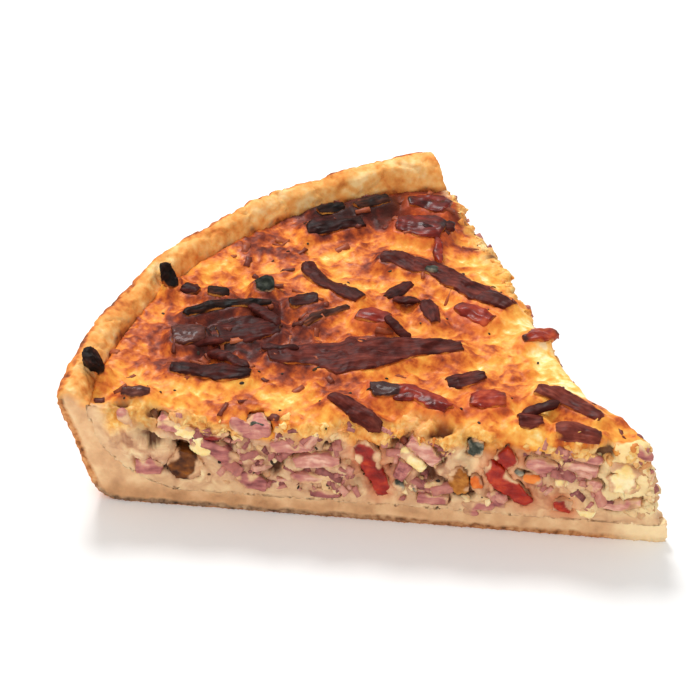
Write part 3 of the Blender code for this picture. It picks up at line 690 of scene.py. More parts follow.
shown = (near_in < 4.0) | (far_in < 4.0) | (spot[:, 2] > 21.0)
for i in np.flatnonzero(shown & (to_pastry < CLING_REACH + 1.0)):
    place = Vector(moved[i])
    touch, _, _, gap = pastry_tree.find_nearest(place)
    if 0.05 < gap < CLING_REACH:
        moved[i] = place + (touch - place) * ((CLING_REACH - gap) * CLING_RATE / gap)
put_back(mesh, square_up(moved, out, step_up(SEAM_BELT - to_pastry, 0.0, 0.8)))
print("lifted against the pieces:", int((lift > 0.1).sum()), "points")


# %% Note what the custard's finish needs to know about each place
def closeness(nodes, places, fade):
    """1 against any of these solids, fading over that many millimetres."""
    return np.exp(-gaps_to(search_tree(nodes), places) / fade)


browned = oven_level(spot) + 0.2 * bumps(spot, 7.0, 1.0) + 0.16 * bumps(bent, 2.6, 4.0)
browned += 0.22 * (0.6 * ridge + 0.5 * fine_ridge)
browned += 0.16 * closeness(TOP_NODES, spot, 1.4)
paint(mesh, "browned", browned)
paint(mesh, "broken", broken)
# Painted shade: the pits between curds and the sunken places of the broken face are marked here to be
# painted dark
sunken_painted_shade = step_up(-push, 0.0, 1.6)
paint(mesh, "pit", np.clip(1.1 * pit - 1.2 * curd + 0.7 * sunken_painted_shade, 0.0, 1.0) * loose)
paint(mesh, "ham_juice", closeness(nodes_like("ham_cut"), spot, 1.8))
paint(mesh, "pale_tip", 0.7 * step_up(28.0 - np.hypot(spot[:, 0], spot[:, 1]), 0.0, 16.0))
paint(mesh, "pepper_oil", closeness(nodes_like("pepper"), spot, 1.8))
paint(mesh, "warm_top", step_up(spot[:, 2] + 3.2 * bumps(spot, 5.0, 2.0), 19.5, 24.5))
paint(mesh, "by_pastry", step_up(5.0 + 2.2 * bumps(spot, 4.0, 17.0) - to_pastry, 0.0, 4.0))
print("browned on average:", browned[on_top > 0.5].mean().round(2))

# %% Finish of egg custard with melted cheese: moist where broken, browned and oily on top, with painted shade in the pits of the broken face
custard_finish, tree, shader, spots = new_finish(
    "baked_egg_custard", Specular_IOR_Level=0.16, Subsurface_Weight=0.12,
    Subsurface_Scale=0.0015,
)
shader.inputs["Subsurface Radius"].default_value = (1.0, 0.55, 0.25)
fine = add_node(tree, "ShaderNodeTexNoise", {"Vector": spots, "Scale": per_mm(1.3), "Detail": 5.0})
mottle = add_node(
    tree, "ShaderNodeTexNoise",
    {"Vector": spots, "Scale": per_mm(4.0), "Detail": 5.0, "Distortion": 0.9},
)
known = {
    name: add_node(tree, "ShaderNodeAttribute", attribute_name=name)
    for name in ("browned", "broken", "pit", "ham_juice", "pepper_oil", "warm_top", "by_pastry",
                 "pale_tip")
}
heat = known["browned"]
for grain in (fine, mottle):
    heat = add_node(tree, "ShaderNodeMath", {0: grain, 1: 0.42, 2: heat}, operation="MULTIPLY_ADD")
heat = add_node(tree, "ShaderNodeMath", {0: heat, 1: 0.42}, operation="SUBTRACT")
baked = add_node(
    tree, "ShaderNodeValToRGB", {0: heat},
    stops=[(0.0, "#FFEBB4"), (0.1, "#FDD684"), (0.22, "#F6B450"), (0.35, "#EC983C"),
           (0.47, "#D8762C"), (0.58, "#B25020"), (0.7, "#7E341E"), (0.84, "#561C12"),
           (1.0, "#30100A")],
)
side = add_node(
    tree, "ShaderNodeValToRGB", {0: mottle},
    stops=[(0.3, "#AE7A5A"), (0.44, "#D09F76"), (0.56, "#E4BC8E"), (0.7, "#F4D8A6")],
)
warm = add_node(tree, "ShaderNodeValToRGB", {0: fine},
                stops=[(0.3, "#D88A3A"), (0.5, "#F3B155"), (0.7, "#FBD486")])
by_dough = add_node(tree, "ShaderNodeValToRGB", {0: mottle},
                    stops=[(0.3, "#CA9C74"), (0.5, "#DDB286"), (0.7, "#EAC898")])
# Besides the real tints, the dark brown #5E3222 is painted shade, laid into the pits of the broken
# face
for name, most, second in (
    ("warm_top", 1.0, warm), ("ham_juice", 0.5, linear("#B98072")),
    ("pale_tip", 1.0, linear("#FCE4A8")), ("pit", 0.9, linear("#5E3222")),
    ("by_pastry", 1.0, by_dough),
):
    share = add_node(tree, "ShaderNodeMath", {0: known[name], 1: most}, operation="MULTIPLY")
    side = add_node(tree, "ShaderNodeMix", {0: share, 6: side, 7: second}, data_type="RGBA")
colour = add_node(tree, "ShaderNodeMix", {0: known["broken"], 6: baked, 7: side}, data_type="RGBA")
oil = add_node(tree, "ShaderNodeMath", {0: known["pepper_oil"], 1: 0.55}, operation="MULTIPLY")
colour = add_node(tree, "ShaderNodeMix", {0: oil, 6: colour, 7: linear("#D65A26")},
                  data_type="RGBA")
tree.links.new(colour.outputs[2], shader.inputs["Base Color"])
gloss = add_node(tree, "ShaderNodeMapRange",
                 {"Value": mottle, "From Min": 0.3, "From Max": 0.7, "To Min": 0.34, "To Max": 0.66})
tree.links.new(gloss.outputs[0], shader.inputs["Roughness"])
bump = add_node(tree, "ShaderNodeBump", {"Strength": 0.5, "Distance": 0.35 * MM, "Height": fine})
tree.links.new(bump.outputs[0], shader.inputs["Normal"])
mesh.materials.append(custard_finish)
finish_piece(custard, "custard", "filling")

# %% [markdown]
# ## Strips, chunks and slices
#
# More than fifty pieces of meat and vegetable lie on the top or show in the cut. They differ in
# shape but share one surface history: cut with a knife, then dried and shrunk by heat. One
# Geometry Nodes tree gives all of them bends, lumps and grain by a rule, with the sizes as named
# inputs. The grain is stretched along each piece, so the ham shows its muscle fibres.


# %% A tree that bends, lumps and grains a piece
def new_tree(name, **labels):
    """An empty tree from form to form, with labels for each kind of input, and a finish last."""
    tree = bpy.data.node_groups.new(name, "GeometryNodeTree")
    add_socket = tree.interface.new_socket
    for kind, names in {"Geometry": ("Geometry",), **labels, "Material": ("Finish",)}.items():
        for label in names:
            add_socket(label, in_out="INPUT", socket_type="NodeSocket" + kind)
    add_socket("Geometry", in_out="OUTPUT", socket_type="NodeSocketGeometry")
    return tree, add_node(tree, "NodeGroupInput").outputs


def relief_tree():
    tree, given = new_tree("dried_relief", Float=(
        "Bend size", "Bend depth", "Lump size", "Lump depth", "Grain size", "Grain depth", "Seed"))
    flow = add_node(tree, "GeometryNodeInputNamedAttribute", {"Name": "flow"},
                    data_type="FLOAT_VECTOR")
    stretched = add_node(tree, "ShaderNodeVectorMath", {0: flow, 1: (0.22, 1.0, 1.0)},
                         operation="MULTIPLY")
    waves = {}
    for kind, places in (("Bend", flow), ("Lump", flow), ("Grain", stretched)):
        scale = add_node(tree, "ShaderNodeMath", {0: 1.0, 1: given[kind + " size"]},
                         operation="DIVIDE")
        noise_4d = add_node(
            tree, "ShaderNodeTexNoise",
            {"Vector": places, "W": given["Seed"], "Scale": scale, "Detail": 2.0},
            noise_dimensions="4D",
        )
        middle = add_node(tree, "ShaderNodeVectorMath",
                          {0: noise_4d.outputs[1], 1: (0.5, 0.5, 0.5)}, operation="SUBTRACT")
        waves[kind] = add_node(tree, "ShaderNodeVectorMath",
                               {0: middle, "Scale": given[kind + " depth"]}, operation="SCALE")
    both = add_node(tree, "ShaderNodeVectorMath", {0: waves["Lump"], 1: waves["Grain"]},
                    operation="ADD")
    height = add_node(tree, "ShaderNodeSeparateXYZ", {0: both})
    normal = add_node(tree, "GeometryNodeInputNormal")
    push = add_node(tree, "ShaderNodeVectorMath", {0: normal, "Scale": height}, operation="SCALE")
    whole = add_node(tree, "ShaderNodeVectorMath", {0: push, 1: waves["Bend"]}, operation="ADD")
    moved = add_node(tree, "GeometryNodeSetPosition",
                     {"Geometry": given["Geometry"], "Offset": whole})
    real = add_node(tree, "GeometryNodeRealizeInstances", {"Geometry": moved})
    dressed = add_node(tree, "GeometryNodeSetMaterial",
                       {"Geometry": real, "Material": given["Finish"]})
    add_node(tree, "NodeGroupOutput", {"Geometry": dressed})
    return tree


def run_tree(piece, tree, **inputs):
    """Sets a tree's named inputs by identifier, runs it and keeps the plain mesh."""
    nodes = piece.modifiers.new(tree.name, "NODES")
    nodes.node_group = tree
    names = {s.name: s.identifier for s in tree.interface.items_tree if s.in_out == "INPUT"}
    for label, value in inputs.items():
        nodes[names[label.replace("_", " ")]] = value
    return settle(piece)


DRIED = relief_tree()
print("relief inputs:", [s.name for s in DRIED.interface.items_tree if s.in_out == "INPUT"][1:])

# %% [markdown]
# ## What the pieces are made of
#
# Each kind has its own finish. Grilled ham is dark mauve-brown and waxy, ham in the cut is pink
# with paler fat, roasted pepper is a glossy red skin that blackens, and a charred end is nearly
# black with a grey bloom. They share one recipe: a colour card from dark to light, read through
# stretched grain and soft mottling, a share of char that grows on ends and upward faces, and
# a ragged edge of custard where the piece meets it.

# %% One recipe for pieces of food
# Custard baked onto a piece on the top, and custard that set round one in the cut
BAKED_ON = [(0.3, "#7E3A1C"), (0.5, "#C26A2A"), (0.7, "#E6A04A")]
SET_ROUND = [(0.3, "#B68462"), (0.5, "#D8A87E"), (0.7, "#ECC898")]


def piece_finish(name, stops, custard_edge, grain_mm=0.9, rough=(0.35, 0.6), char="#2A1C1A",
                 charred=0.0, shine=0.16, stretch=0.16, **more):
    finish, tree, shader, spots = new_finish(name, Specular_IOR_Level=shine, **more)
    known = {
        key: add_node(tree, "ShaderNodeAttribute", attribute_name=key)
        for key in ("char", "tone", "custard_edge")
    }
    flow = add_node(tree, "ShaderNodeAttribute", attribute_name="flow")
    fibres = add_node(tree, "ShaderNodeMapping",
                      {"Vector": flow.outputs["Vector"], "Scale": (stretch, 1.0, 1.0)})
    grain = add_node(tree, "ShaderNodeTexNoise",
                     {"Vector": fibres, "Scale": per_mm(grain_mm), "Detail": 4.0})
    mottle = add_node(tree, "ShaderNodeTexNoise",
                      {"Vector": spots, "Scale": per_mm(3.2), "Detail": 5.0})
    mixed = add_node(tree, "ShaderNodeMix", {0: 0.5, 2: grain, 3: mottle}, data_type="FLOAT")
    own = add_node(tree, "ShaderNodeMath", {0: mixed, 1: known["tone"]}, operation="ADD")
    card = add_node(tree, "ShaderNodeValToRGB", {0: own}, stops=stops)
    seared = add_node(tree, "ShaderNodeMath", {0: mottle, 1: 0.8, 2: known["char"]},
                      operation="MULTIPLY_ADD")
    share = add_node(tree, "ShaderNodeMapRange",
                     {"Value": seared, "From Min": 0.7, "From Max": 1.1, "To Max": charred})
    colour = add_node(tree, "ShaderNodeMix", {0: share, 6: card, 7: linear(char)},
                      data_type="RGBA")
    stuck = add_node(tree, "ShaderNodeValToRGB", {0: mottle}, stops=custard_edge)
    colour = add_node(tree, "ShaderNodeMix", {0: known["custard_edge"], 6: colour, 7: stuck},
                      data_type="RGBA")
    tree.links.new(colour.outputs[2], shader.inputs["Base Color"])
    gloss = add_node(tree, "ShaderNodeMapRange",
                     {"Value": mottle, "From Min": 0.3, "From Max": 0.7, "To Min": rough[0],
                      "To Max": rough[1]})
    tree.links.new(gloss.outputs[0], shader.inputs["Roughness"])
    bump = add_node(tree, "ShaderNodeBump", {"Strength": 0.5, "Distance": 0.2 * MM, "Height": grain})
    tree.links.new(bump.outputs[0], shader.inputs["Normal"])
    return finish


# %% The finishes
FINISHES = {
    # Ham under the grill: fibres dried dark mauve-brown, waxy, with hardly any gloss
    "ham_top": piece_finish(
        "grilled_ham",
        [(0.28, "#1E0A08"), (0.42, "#36120E"), (0.54, "#4E1C16"), (0.66, "#6C2E24"),
         (0.8, "#924838")],
        BAKED_ON, charred=0.6, shine=0.06, Subsurface_Weight=0.05, Subsurface_Scale=0.001,
    ),
    # Ham in the cut: moist pink muscle, paler where it is fat
    "ham_cut": piece_finish(
        "cooked_ham",
        [(0.3, "#623234"), (0.4, "#945452"), (0.5, "#B66F68"), (0.6, "#CC8A7A"),
         (0.72, "#E8B8A0")],
        SET_ROUND, Subsurface_Weight=0.1, Subsurface_Scale=0.001,
    ),
    # Pepper skin on the top: dark red and oily, blackened in places
    "pepper_top": piece_finish(
        "browned_red_pepper",
        [(0.3, "#360A06"), (0.45, "#62150C"), (0.6, "#8E2612"), (0.75, "#B84A22")],
        BAKED_ON, grain_mm=1.6, rough=(0.3, 0.55), charred=0.9, shine=0.1, stretch=0.4,
        Subsurface_Weight=0.06, Subsurface_Scale=0.001, Coat_Weight=0.12, Coat_Roughness=0.25,
    ),
    # Pepper in the cut: wet red flesh with a clear gloss
    "pepper_cut": piece_finish(
        "roasted_red_pepper",
        [(0.3, "#460A06"), (0.45, "#7A120A"), (0.6, "#9E1E0E"), (0.75, "#C4401C")],
        SET_ROUND, grain_mm=1.6, rough=(0.2, 0.45), charred=0.25, stretch=0.5, Subsurface_Weight=0.1,
        Subsurface_Scale=0.001, Coat_Weight=0.25, Coat_Roughness=0.2,
    ),
    # Burnt ends: dull charcoal, brown where the ham still shows
    "charred": piece_finish(
        "charred_ham_end",
        [(0.3, "#120D0B"), (0.43, "#2A1712"), (0.55, "#4A2519"), (0.68, "#7A4028")],
        BAKED_ON, rough=(0.35, 0.7), shine=0.06,
    ),
    # Browned onion: dark and smooth, with a slight sheen
    "onion": piece_finish(
        "browned_onion",
        [(0.3, "#28100C"), (0.45, "#46201A"), (0.6, "#62342A"), (0.75, "#86503F")],
        BAKED_ON, rough=(0.3, 0.5), shine=0.1, stretch=0.6, Coat_Weight=0.06,
    ),
    # Herb leaf dried by the oven: nearly black, with a pale bloom
    "herb": piece_finish(
        "dark_baked_herb",
        [(0.3, "#10110C"), (0.44, "#25281F"), (0.55, "#4A4C42"), (0.66, "#8E8674"),
         (0.8, "#DCC8A0")],
        SET_ROUND, grain_mm=1.4, rough=(0.4, 0.8), shine=0.1, stretch=0.7,
    ),
    # Fried mushroom: brown and moist, golden where it is thin
    "mushroom": piece_finish(
        "fried_mushroom",
        [(0.3, "#3E1E10"), (0.45, "#723E18"), (0.6, "#A86424"), (0.75, "#CE8A3C")],
        SET_ROUND, grain_mm=1.8, rough=(0.25, 0.5), stretch=0.7,
    ),
    # Carrot: bright orange and moist, and light passes a little way in
    "carrot": piece_finish(
        "boiled_carrot",
        [(0.3, "#C8521E"), (0.5, "#DE6C26"), (0.7, "#EE8C40")],
        SET_ROUND, grain_mm=1.2, rough=(0.3, 0.5), Subsurface_Weight=0.12,
        Subsurface_Scale=0.0015,
    ),
    # Melted cheese: pale and soft, and light passes a little way in
    "cheese": piece_finish(
        "melted_cheese",
        [(0.3, "#DCA45C"), (0.45, "#F0C87A"), (0.6, "#F8DA94"), (0.75, "#FCE8B6")],
        SET_ROUND, grain_mm=1.6, rough=(0.3, 0.5), stretch=0.7, Subsurface_Weight=0.15,
        Subsurface_Scale=0.0015,
    ),
}
SLOTS = {
    "ham_top": "ham", "ham_cut": "ham", "pepper_top": "pepper", "pepper_cut": "pepper",
    "charred": "charred_ham", "onion": "browned_onion", "herb": "dark_herb",
    "mushroom": "mushroom", "carrot": "carrot", "cheese": "cheese",
}
# Bend depth, lump size and depth, then grain size and depth, in millimetres
RELIEF = {
    "ham_top": (2.2, 3.4, 1.0, 0.9, 0.5), "ham_cut": (1.4, 2.6, 1.1, 0.8, 0.5),
    "pepper_top": (1.8, 3.0, 1.2, 1.4, 0.5), "pepper_cut": (2.4, 3.0, 1.5, 1.6, 0.5),
    "charred": (1.8, 2.0, 1.2, 0.8, 0.6), "onion": (1.2, 2.4, 1.1, 1.0, 0.3),
    "herb": (2.0, 1.8, 1.6, 0.7, 0.8), "mushroom": (1.6, 2.2, 1.6, 0.9, 0.7),
    "carrot": (0.8, 2.5, 0.4, 0.9, 0.15), "cheese": (2.0, 1.9, 1.8, 0.9, 0.6),
}
BEND_SIZE = 5.0
print("finishes:", len(FINISHES))


# %% Helpers that dress a piece
def flow_of(places):
    """Each place as lengths along, across and up the piece it belongs to."""
    middle = places.mean(0)
    flat = (places - middle)[:, :2]
    turn = np.linalg.svd(flat, full_matrices=False)[2]
    return np.column_stack((flat @ turn.T, places[:, 2] - middle[2]))


PIECE_CELL = 0.38
CHAR_ON_TOP, CHAR_PATCHES, CHAR_AT_ENDS = 0.25, 0.35, 0.3
# Pieces nearer the tip are paler, and each has a tone of its own
TONE_FROM, TONE_REACH, TONE_SPREAD = -80.0, 500.0, 0.07
# How far custard sticks up a piece, and how ragged its edge is
TOP_EDGE, CUT_EDGE = (0.5, 0.8), (0.9, 1.5)
BURNT_AT_LEFT = "pepper_top_6"
PICTURE_RIGHT = np.array((0.82, 0.57, 0.0))
custard_tree = mesh_tree(places_of(custard.data), custard.data)
draws = np.random.default_rng(12)


def dress_form(piece, kind, seed):
    """Relief and finish for a fine form, with what the finish reads."""
    mesh = piece.data
    places, out = places_of(mesh), normals_of(mesh)
    flow = flow_of(places)
    half = np.abs(flow[:, 0]).max()
    ends = step_up(np.abs(flow[:, 0]) / half, 0.6, 1.0)
    paint(mesh, "flow", flow * MM)
    char = CHAR_ON_TOP * step_up(out[:, 2], 0.3, 0.9) + CHAR_AT_ENDS * ends
    char += CHAR_PATCHES * bumps(places, 5.0, seed)
    if piece.name.startswith(BURNT_AT_LEFT):
        across = places @ PICTURE_RIGHT
        share = (across - across.min()) / np.ptp(across)
        char = 1.2 * step_up(0.42 - share, 0.0, 0.12)
    paint(mesh, "char", char)
    tone = (places[:, 0].mean() - TONE_FROM) / TONE_REACH
    paint(mesh, "tone", np.full(len(places), tone + draws.uniform(-TONE_SPREAD, TONE_SPREAD)))
    on_top = "top" in piece.name
    reach, ragged = TOP_EDGE if on_top else CUT_EDGE
    edge = reach + ragged * bumps(places, 2.8, seed + 5.0) - gaps_to(custard_tree, places, 4.0)
    bare = step_up(out[:, 2], 0.1, 0.5) if on_top else 0.0
    paint(mesh, "custard_edge", step_up(edge, 0.0, 0.5) * (1.0 - bare))
    bend, lump, lump_depth, grain, grain_depth = (MM * value for value in RELIEF[kind])
    run_tree(piece, DRIED, Bend_size=BEND_SIZE * MM, Bend_depth=bend, Lump_size=lump,
             Lump_depth=lump_depth, Grain_size=grain, Grain_depth=grain_depth,
             Seed=float(seed), Finish=FINISHES[kind])
    return len(piece.data.polygons)


def dress(node, seed):
    kind = next(k for k in FINISHES if node.startswith(k))
    piece = fine_form(node + "_form", node, PIECE_CELL)
    faces = dress_form(piece, kind, seed)
    finish_piece(piece, SLOTS[kind], node)
    return faces


# %% Dress every piece
dressed = [dress(node, seed) for seed, node in enumerate(nodes_like(*FINISHES))]
print("pieces dressed:", len(dressed), "faces:", sum(dressed))

# %% [markdown]
# ## Bits too small for a solid
#
# Between the pieces lie bits a few millimetres long: ends of ham, crumbs of herb, a scrap of
# carrot. Each starts as a ball that is squared off and stretched from one end point to the
# other. All bits of a kind become one mesh, which then goes through the same relief. On top a
# bit is set down on the custard's nearest place. In the cut its ends are given by how far they
# are from the tip and how high they are, and it lies half out of the broken face.

# %% Where the bits are
# Kind, then from and to as places on the top, width and thickness, in millimetres
TOP_BITS = (
    ("ham_top", (-82.3, 9.1), (-79.9, 10.6), 2.6, 1.4),
    ("ham_top", (-76.7, -2.8), (-73.3, -0.1), 2.6, 1.4),
    ("ham_top", (-34.1, -10.7), (-28.9, -6.7), 3.0, 1.4),
    ("herb", (-85.3, 23.8), (-83.3, 25.4), 2.2, 1.4),
    ("ham_top", (-104.0, -34.0), (-96.0, -33.0), 3.2, 1.6),
    ("ham_top", (-98.0, -27.0), (-90.0, -22.0), 3.0, 1.6),
    ("ham_top", (-108.0, -16.0), (-99.0, -15.0), 3.0, 1.6),
    ("ham_top", (-112.0, -34.0), (-106.0, -30.0), 3.0, 1.6),
    ("ham_top", (-92.0, 47.0), (-86.0, 44.0), 2.6, 1.4),
    ("ham_top", (-100.0, 41.0), (-94.0, 38.0), 2.4, 1.4),
    ("pepper_top", (-90.0, 35.0), (-84.0, 33.0), 2.2, 1.3),
    ("pepper_top", (-60.0, -25.0), (-56.0, -21.0), 2.4, 1.4),
)
# Kind, then from and to as distance from the tip and height, width and thickness
CUT_BITS = (
    ("ham_cut", (126.0, 26.0), (124.0, 22.0), 2.4, 1.8),
    ("herb", (123.6, 18.7), (122.5, 17.9), 1.3, 1.2),
    ("pepper_cut", (106.5, 20.6), (101.5, 21.6), 1.6, 1.2),
    ("herb", (62.8, 11.5), (61.2, 10.5), 1.9, 1.4),
    ("herb", (59.3, 13.0), (58.7, 10.0), 1.3, 1.2),
    ("cheese", (61.0, 21.0), (57.0, 16.5), 3.2, 2.4),
    ("ham_cut", (47.0, 7.0), (40.5, 7.2), 2.4, 1.6),
    ("ham_cut", (46.8, 5.2), (44.2, 4.4), 1.8, 1.2),
    ("ham_cut", (40.5, 11.0), (38.3, 7.5), 2.4, 1.6),
    ("ham_cut", (22.5, 23.0), (17.0, 22.5), 2.8, 2.0),
    ("herb", (35.4, 17.9), (34.5, 17.0), 1.5, 1.2),
    ("carrot", (33.5, 16.0), (30.5, 15.5), 2.5, 1.8),
    ("cheese", (20.8, 8.0), (17.8, 7.0), 2.5, 1.8),
    ("cheese", (26.0, 15.5), (22.5, 14.5), 3.4, 2.4),
    ("ham_cut", (9.0, 26.0), (6.0, 24.0), 2.6, 2.2),
    ("cheese", (8.0, 20.0), (5.5, 18.5), 2.8, 2.2),
    ("cheese", (14.0, 21.0), (9.0, 19.0), 3.2, 2.4),
    ("cheese", (12.0, 16.5), (8.0, 14.5), 3.0, 2.4),
    ("cheese", (113.0, 23.0), (108.0, 19.5), 3.6, 2.2),
    ("cheese", (109.5, 18.0), (105.5, 16.5), 3.0, 2.0),
    ("ham_cut", (100.0, 25.0), (96.0, 22.5), 3.2, 2.0),
    ("herb", (97.0, 24.5), (93.0, 24.8), 1.6, 1.2),
)
# Power that squares a ball off, and the length that a bit's rounded ends add per width
SQUARE = 0.62
ROUND_ENDS = 0.6
# A height over the whole top, and how far up its thickness a bit is held off the custard
ABOVE_TOP, SET_DOWN = 34.0, 0.2
# How far a bit's middle stands in front of the cut, and how much less for its thickness
CUT_FRONT, CUT_SINK = 0.3, 0.1
BIT_CELL = 0.4
FIRST_BIT_SEED = 70
print("bits on the top:", len(TOP_BITS), "and in the cut:", len(CUT_BITS))


# %% Make the bits
def add_bit(form, start, end, wide, thick, up):
    """A squared ball between two places, its thickness along up."""
    length = (end - start).length + ROUND_ENDS * wide
    x_axis = (end - start).normalized()
    y_axis = up.cross(x_axis).normalized()
    turn = Matrix((x_axis, y_axis, x_axis.cross(y_axis))).transposed().to_4x4()
    ball = bmesh.ops.create_icosphere(form, subdivisions=3, radius=1.0)["verts"]
    for vert in ball:
        vert.co = Vector([math.copysign(abs(c) ** SQUARE, c) for c in vert.co])
    size = Matrix.Diagonal((length / 2.0, wide / 2.0, thick / 2.0, 1.0))
    place = Matrix.Translation((start + end) / 2.0)
    bmesh.ops.transform(form, matrix=place @ turn @ size, verts=ball)


def on_custard(place, lift):
    """The nearest place on the custard's top, lifted a little."""
    return custard_tree.find_nearest(Vector((*place, ABOVE_TOP)))[0] + lift * UP


forms = {}
for kind, start, end, wide, thick in TOP_BITS:
    form = forms.setdefault(("top", kind), bmesh.new())
    ends = [on_custard(place, SET_DOWN * thick) for place in (start, end)]
    add_bit(form, *ends, wide, thick, UP)
for kind, start, end, wide, thick in CUT_BITS:
    form = forms.setdefault(("cut", kind), bmesh.new())
    front = NEAR_OUT * (CUT_FRONT - CUT_SINK * thick)
    ends = [Vector(NEAR_ALONG * s + front) + z * UP for s, z in (start, end)]
    add_bit(form, *ends, wide, thick, Vector(NEAR_OUT))
for seed, ((side, kind), form) in enumerate(sorted(forms.items(), key=lambda item: item[0])):
    mesh = bpy.data.meshes.new(f"{kind}_bits_{side}")
    form.to_mesh(mesh)
    form.free()
    put_back(mesh, np.array([v.co for v in mesh.vertices]))
    piece = link_piece(mesh.name, mesh)
    even_faces(piece, BIT_CELL)
    print(piece.name, "faces:", dress_form(piece, kind, FIRST_BIT_SEED + seed))
    finish_piece(piece, SLOTS[kind])

# %% [markdown]
# ## Curds, crumbs and shreds
#
# Between the large pieces the cut is a jumble of small ones: bars and shreds of ham, curds of
# custard, and flecks of herb. They are too many to place by hand, so a second tree scatters them
# over the custard with a fixed seed. It turns each within a given tilt and spin, sinks it part
# way in, gives it a random tone and crumbles its outline, and ends in one plain mesh for a kind.


# %% A tree that scatters small pieces over a surface
def scatter_tree(name, shape, sides, soft=False):
    """Scatters one shape of grain. A soft one has its edges rounded a little."""
    tree, given = new_tree(
        name, Float=("Per square metre", "Sink", "Tilt", "Spin", "Crumble", "Crumble size"),
        Vector=("Smallest", "Largest"), Int=("Seed",))
    here = add_node(tree, "GeometryNodeInputNamedAttribute", {"Name": "here"}, data_type="FLOAT")
    density = add_node(tree, "ShaderNodeMath", {0: here, 1: given["Per square metre"]},
                       operation="MULTIPLY")
    strewn = add_node(tree, "GeometryNodeDistributePointsOnFaces",
                      {"Mesh": given["Geometry"], "Density": density, "Seed": given["Seed"]})
    sunk = add_node(tree, "ShaderNodeVectorMath",
                    {0: strewn.outputs["Normal"], "Scale": given["Sink"]}, operation="SCALE")
    set_in = add_node(tree, "GeometryNodeSetPosition",
                      {"Geometry": strewn.outputs["Points"], "Offset": sunk})
    most = add_node(tree, "ShaderNodeCombineXYZ",
                    {0: given["Tilt"], 1: given["Tilt"], 2: given["Spin"]})
    least = add_node(tree, "ShaderNodeVectorMath", {0: most, "Scale": -1.0}, operation="SCALE")
    turn = add_node(tree, "FunctionNodeRandomValue", {0: least, 1: most, "Seed": given["Seed"]},
                    data_type="FLOAT_VECTOR")
    turned = add_node(tree, "FunctionNodeRotateRotation",
                      {0: strewn.outputs["Rotation"], 1: turn}, rotation_space="LOCAL")
    grain = add_node(tree, shape, sides)
    if soft:
        grain = add_node(tree, "GeometryNodeSubdivisionSurface",
                         {"Mesh": grain, "Level": 1, "Edge Crease": 0.75})
    size = add_node(tree, "FunctionNodeRandomValue", {0: given["Smallest"], 1: given["Largest"]},
                    data_type="FLOAT_VECTOR")
    copies = add_node(tree, "GeometryNodeInstanceOnPoints",
                      {"Points": set_in, "Instance": grain, "Rotation": turned, "Scale": size})
    tone = add_node(tree, "FunctionNodeRandomValue", {2: 0.0, 3: 1.0}, data_type="FLOAT")
    toned = add_node(tree, "GeometryNodeStoreNamedAttribute",
                     {"Geometry": copies, "Name": "tone", "Value": tone},
                     data_type="FLOAT", domain="INSTANCE")
    real = add_node(tree, "GeometryNodeRealizeInstances", {"Geometry": toned})
    scale = add_node(tree, "ShaderNodeMath", {0: 1.0, 1: given["Crumble size"]},
                     operation="DIVIDE")
    wave = add_node(tree, "ShaderNodeTexNoise", {"Scale": scale, "Detail": 2.0})
    middle = add_node(tree, "ShaderNodeVectorMath", {0: wave.outputs[1], 1: (0.5, 0.5, 0.5)},
                      operation="SUBTRACT")
    push = add_node(tree, "ShaderNodeVectorMath", {0: middle, "Scale": given["Crumble"]},
                    operation="SCALE")
    moved = add_node(tree, "GeometryNodeSetPosition", {"Geometry": real, "Offset": push})
    smooth = add_node(tree, "GeometryNodeSetShadeSmooth", {"Geometry": moved})
    dressed = add_node(tree, "GeometryNodeSetMaterial",
                       {"Geometry": smooth, "Material": given["Finish"]})
    add_node(tree, "NodeGroupOutput", {"Geometry": dressed})
    return tree


BALL = ("GeometryNodeMeshIcoSphere", {"Radius": 0.5, "Subdivisions": 2})
BLOCK = ("GeometryNodeMeshCube",
         {"Size": (1.0, 1.0, 1.0), "Vertices X": 4, "Vertices Y": 3, "Vertices Z": 3})
ROUND_GRAINS = scatter_tree("round_grains", *BALL)
BLOCK_GRAINS = scatter_tree("block_grains", *BLOCK)
BAR_GRAINS = scatter_tree("bar_grains", *BLOCK, soft=True)
print("nodes in a scatter tree:", len(ROUND_GRAINS.nodes))

# %% Finishes of the small pieces: the same foods, each grain a tone of its own
def grain_finish(name, stops, rough=0.45, warmed=None, **more):
    finish, tree, shader, spots = new_finish(name, Roughness=rough, Specular_IOR_Level=0.2, **more)
    tone = add_node(tree, "ShaderNodeAttribute", attribute_name="tone")
    mottle = add_node(tree, "ShaderNodeTexNoise",
                      {"Vector": spots, "Scale": per_mm(1.2), "Detail": 5.0})
    mixed = add_node(tree, "ShaderNodeMix", {0: 0.45, 2: tone, 3: mottle}, data_type="FLOAT")
    card = add_node(tree, "ShaderNodeValToRGB", {0: mixed}, stops=stops)
    if warmed:
        high = add_node(tree, "ShaderNodeAttribute", attribute_name="warm_top")
        melted = add_node(tree, "ShaderNodeValToRGB", {0: mixed}, stops=warmed)
        card = add_node(tree, "ShaderNodeMix", {0: high, 6: card, 7: melted}, data_type="RGBA")
    colour = next(output for output in card.outputs if output.enabled)
    tree.links.new(colour, shader.inputs["Base Color"])
    bump = add_node(tree, "ShaderNodeBump", {"Strength": 0.4, "Distance": 0.2 * MM, "Height": mottle})
    tree.links.new(bump.outputs[0], shader.inputs["Normal"])
    return finish


# Set custard: pale and moist, melted yellow near the top
CURD = grain_finish(
    "custard_curd",
    [(0.1, "#B07E58"), (0.3, "#D09E72"), (0.5, "#E4BA86"), (0.7, "#F2D09A"), (0.9, "#FADFAE")],
    warmed=[(0.2, "#D07A34"), (0.45, "#EBA24C"), (0.7, "#F9C876"), (0.9, "#FFE2A6")],
    Subsurface_Weight=0.12, Subsurface_Scale=0.001,
)
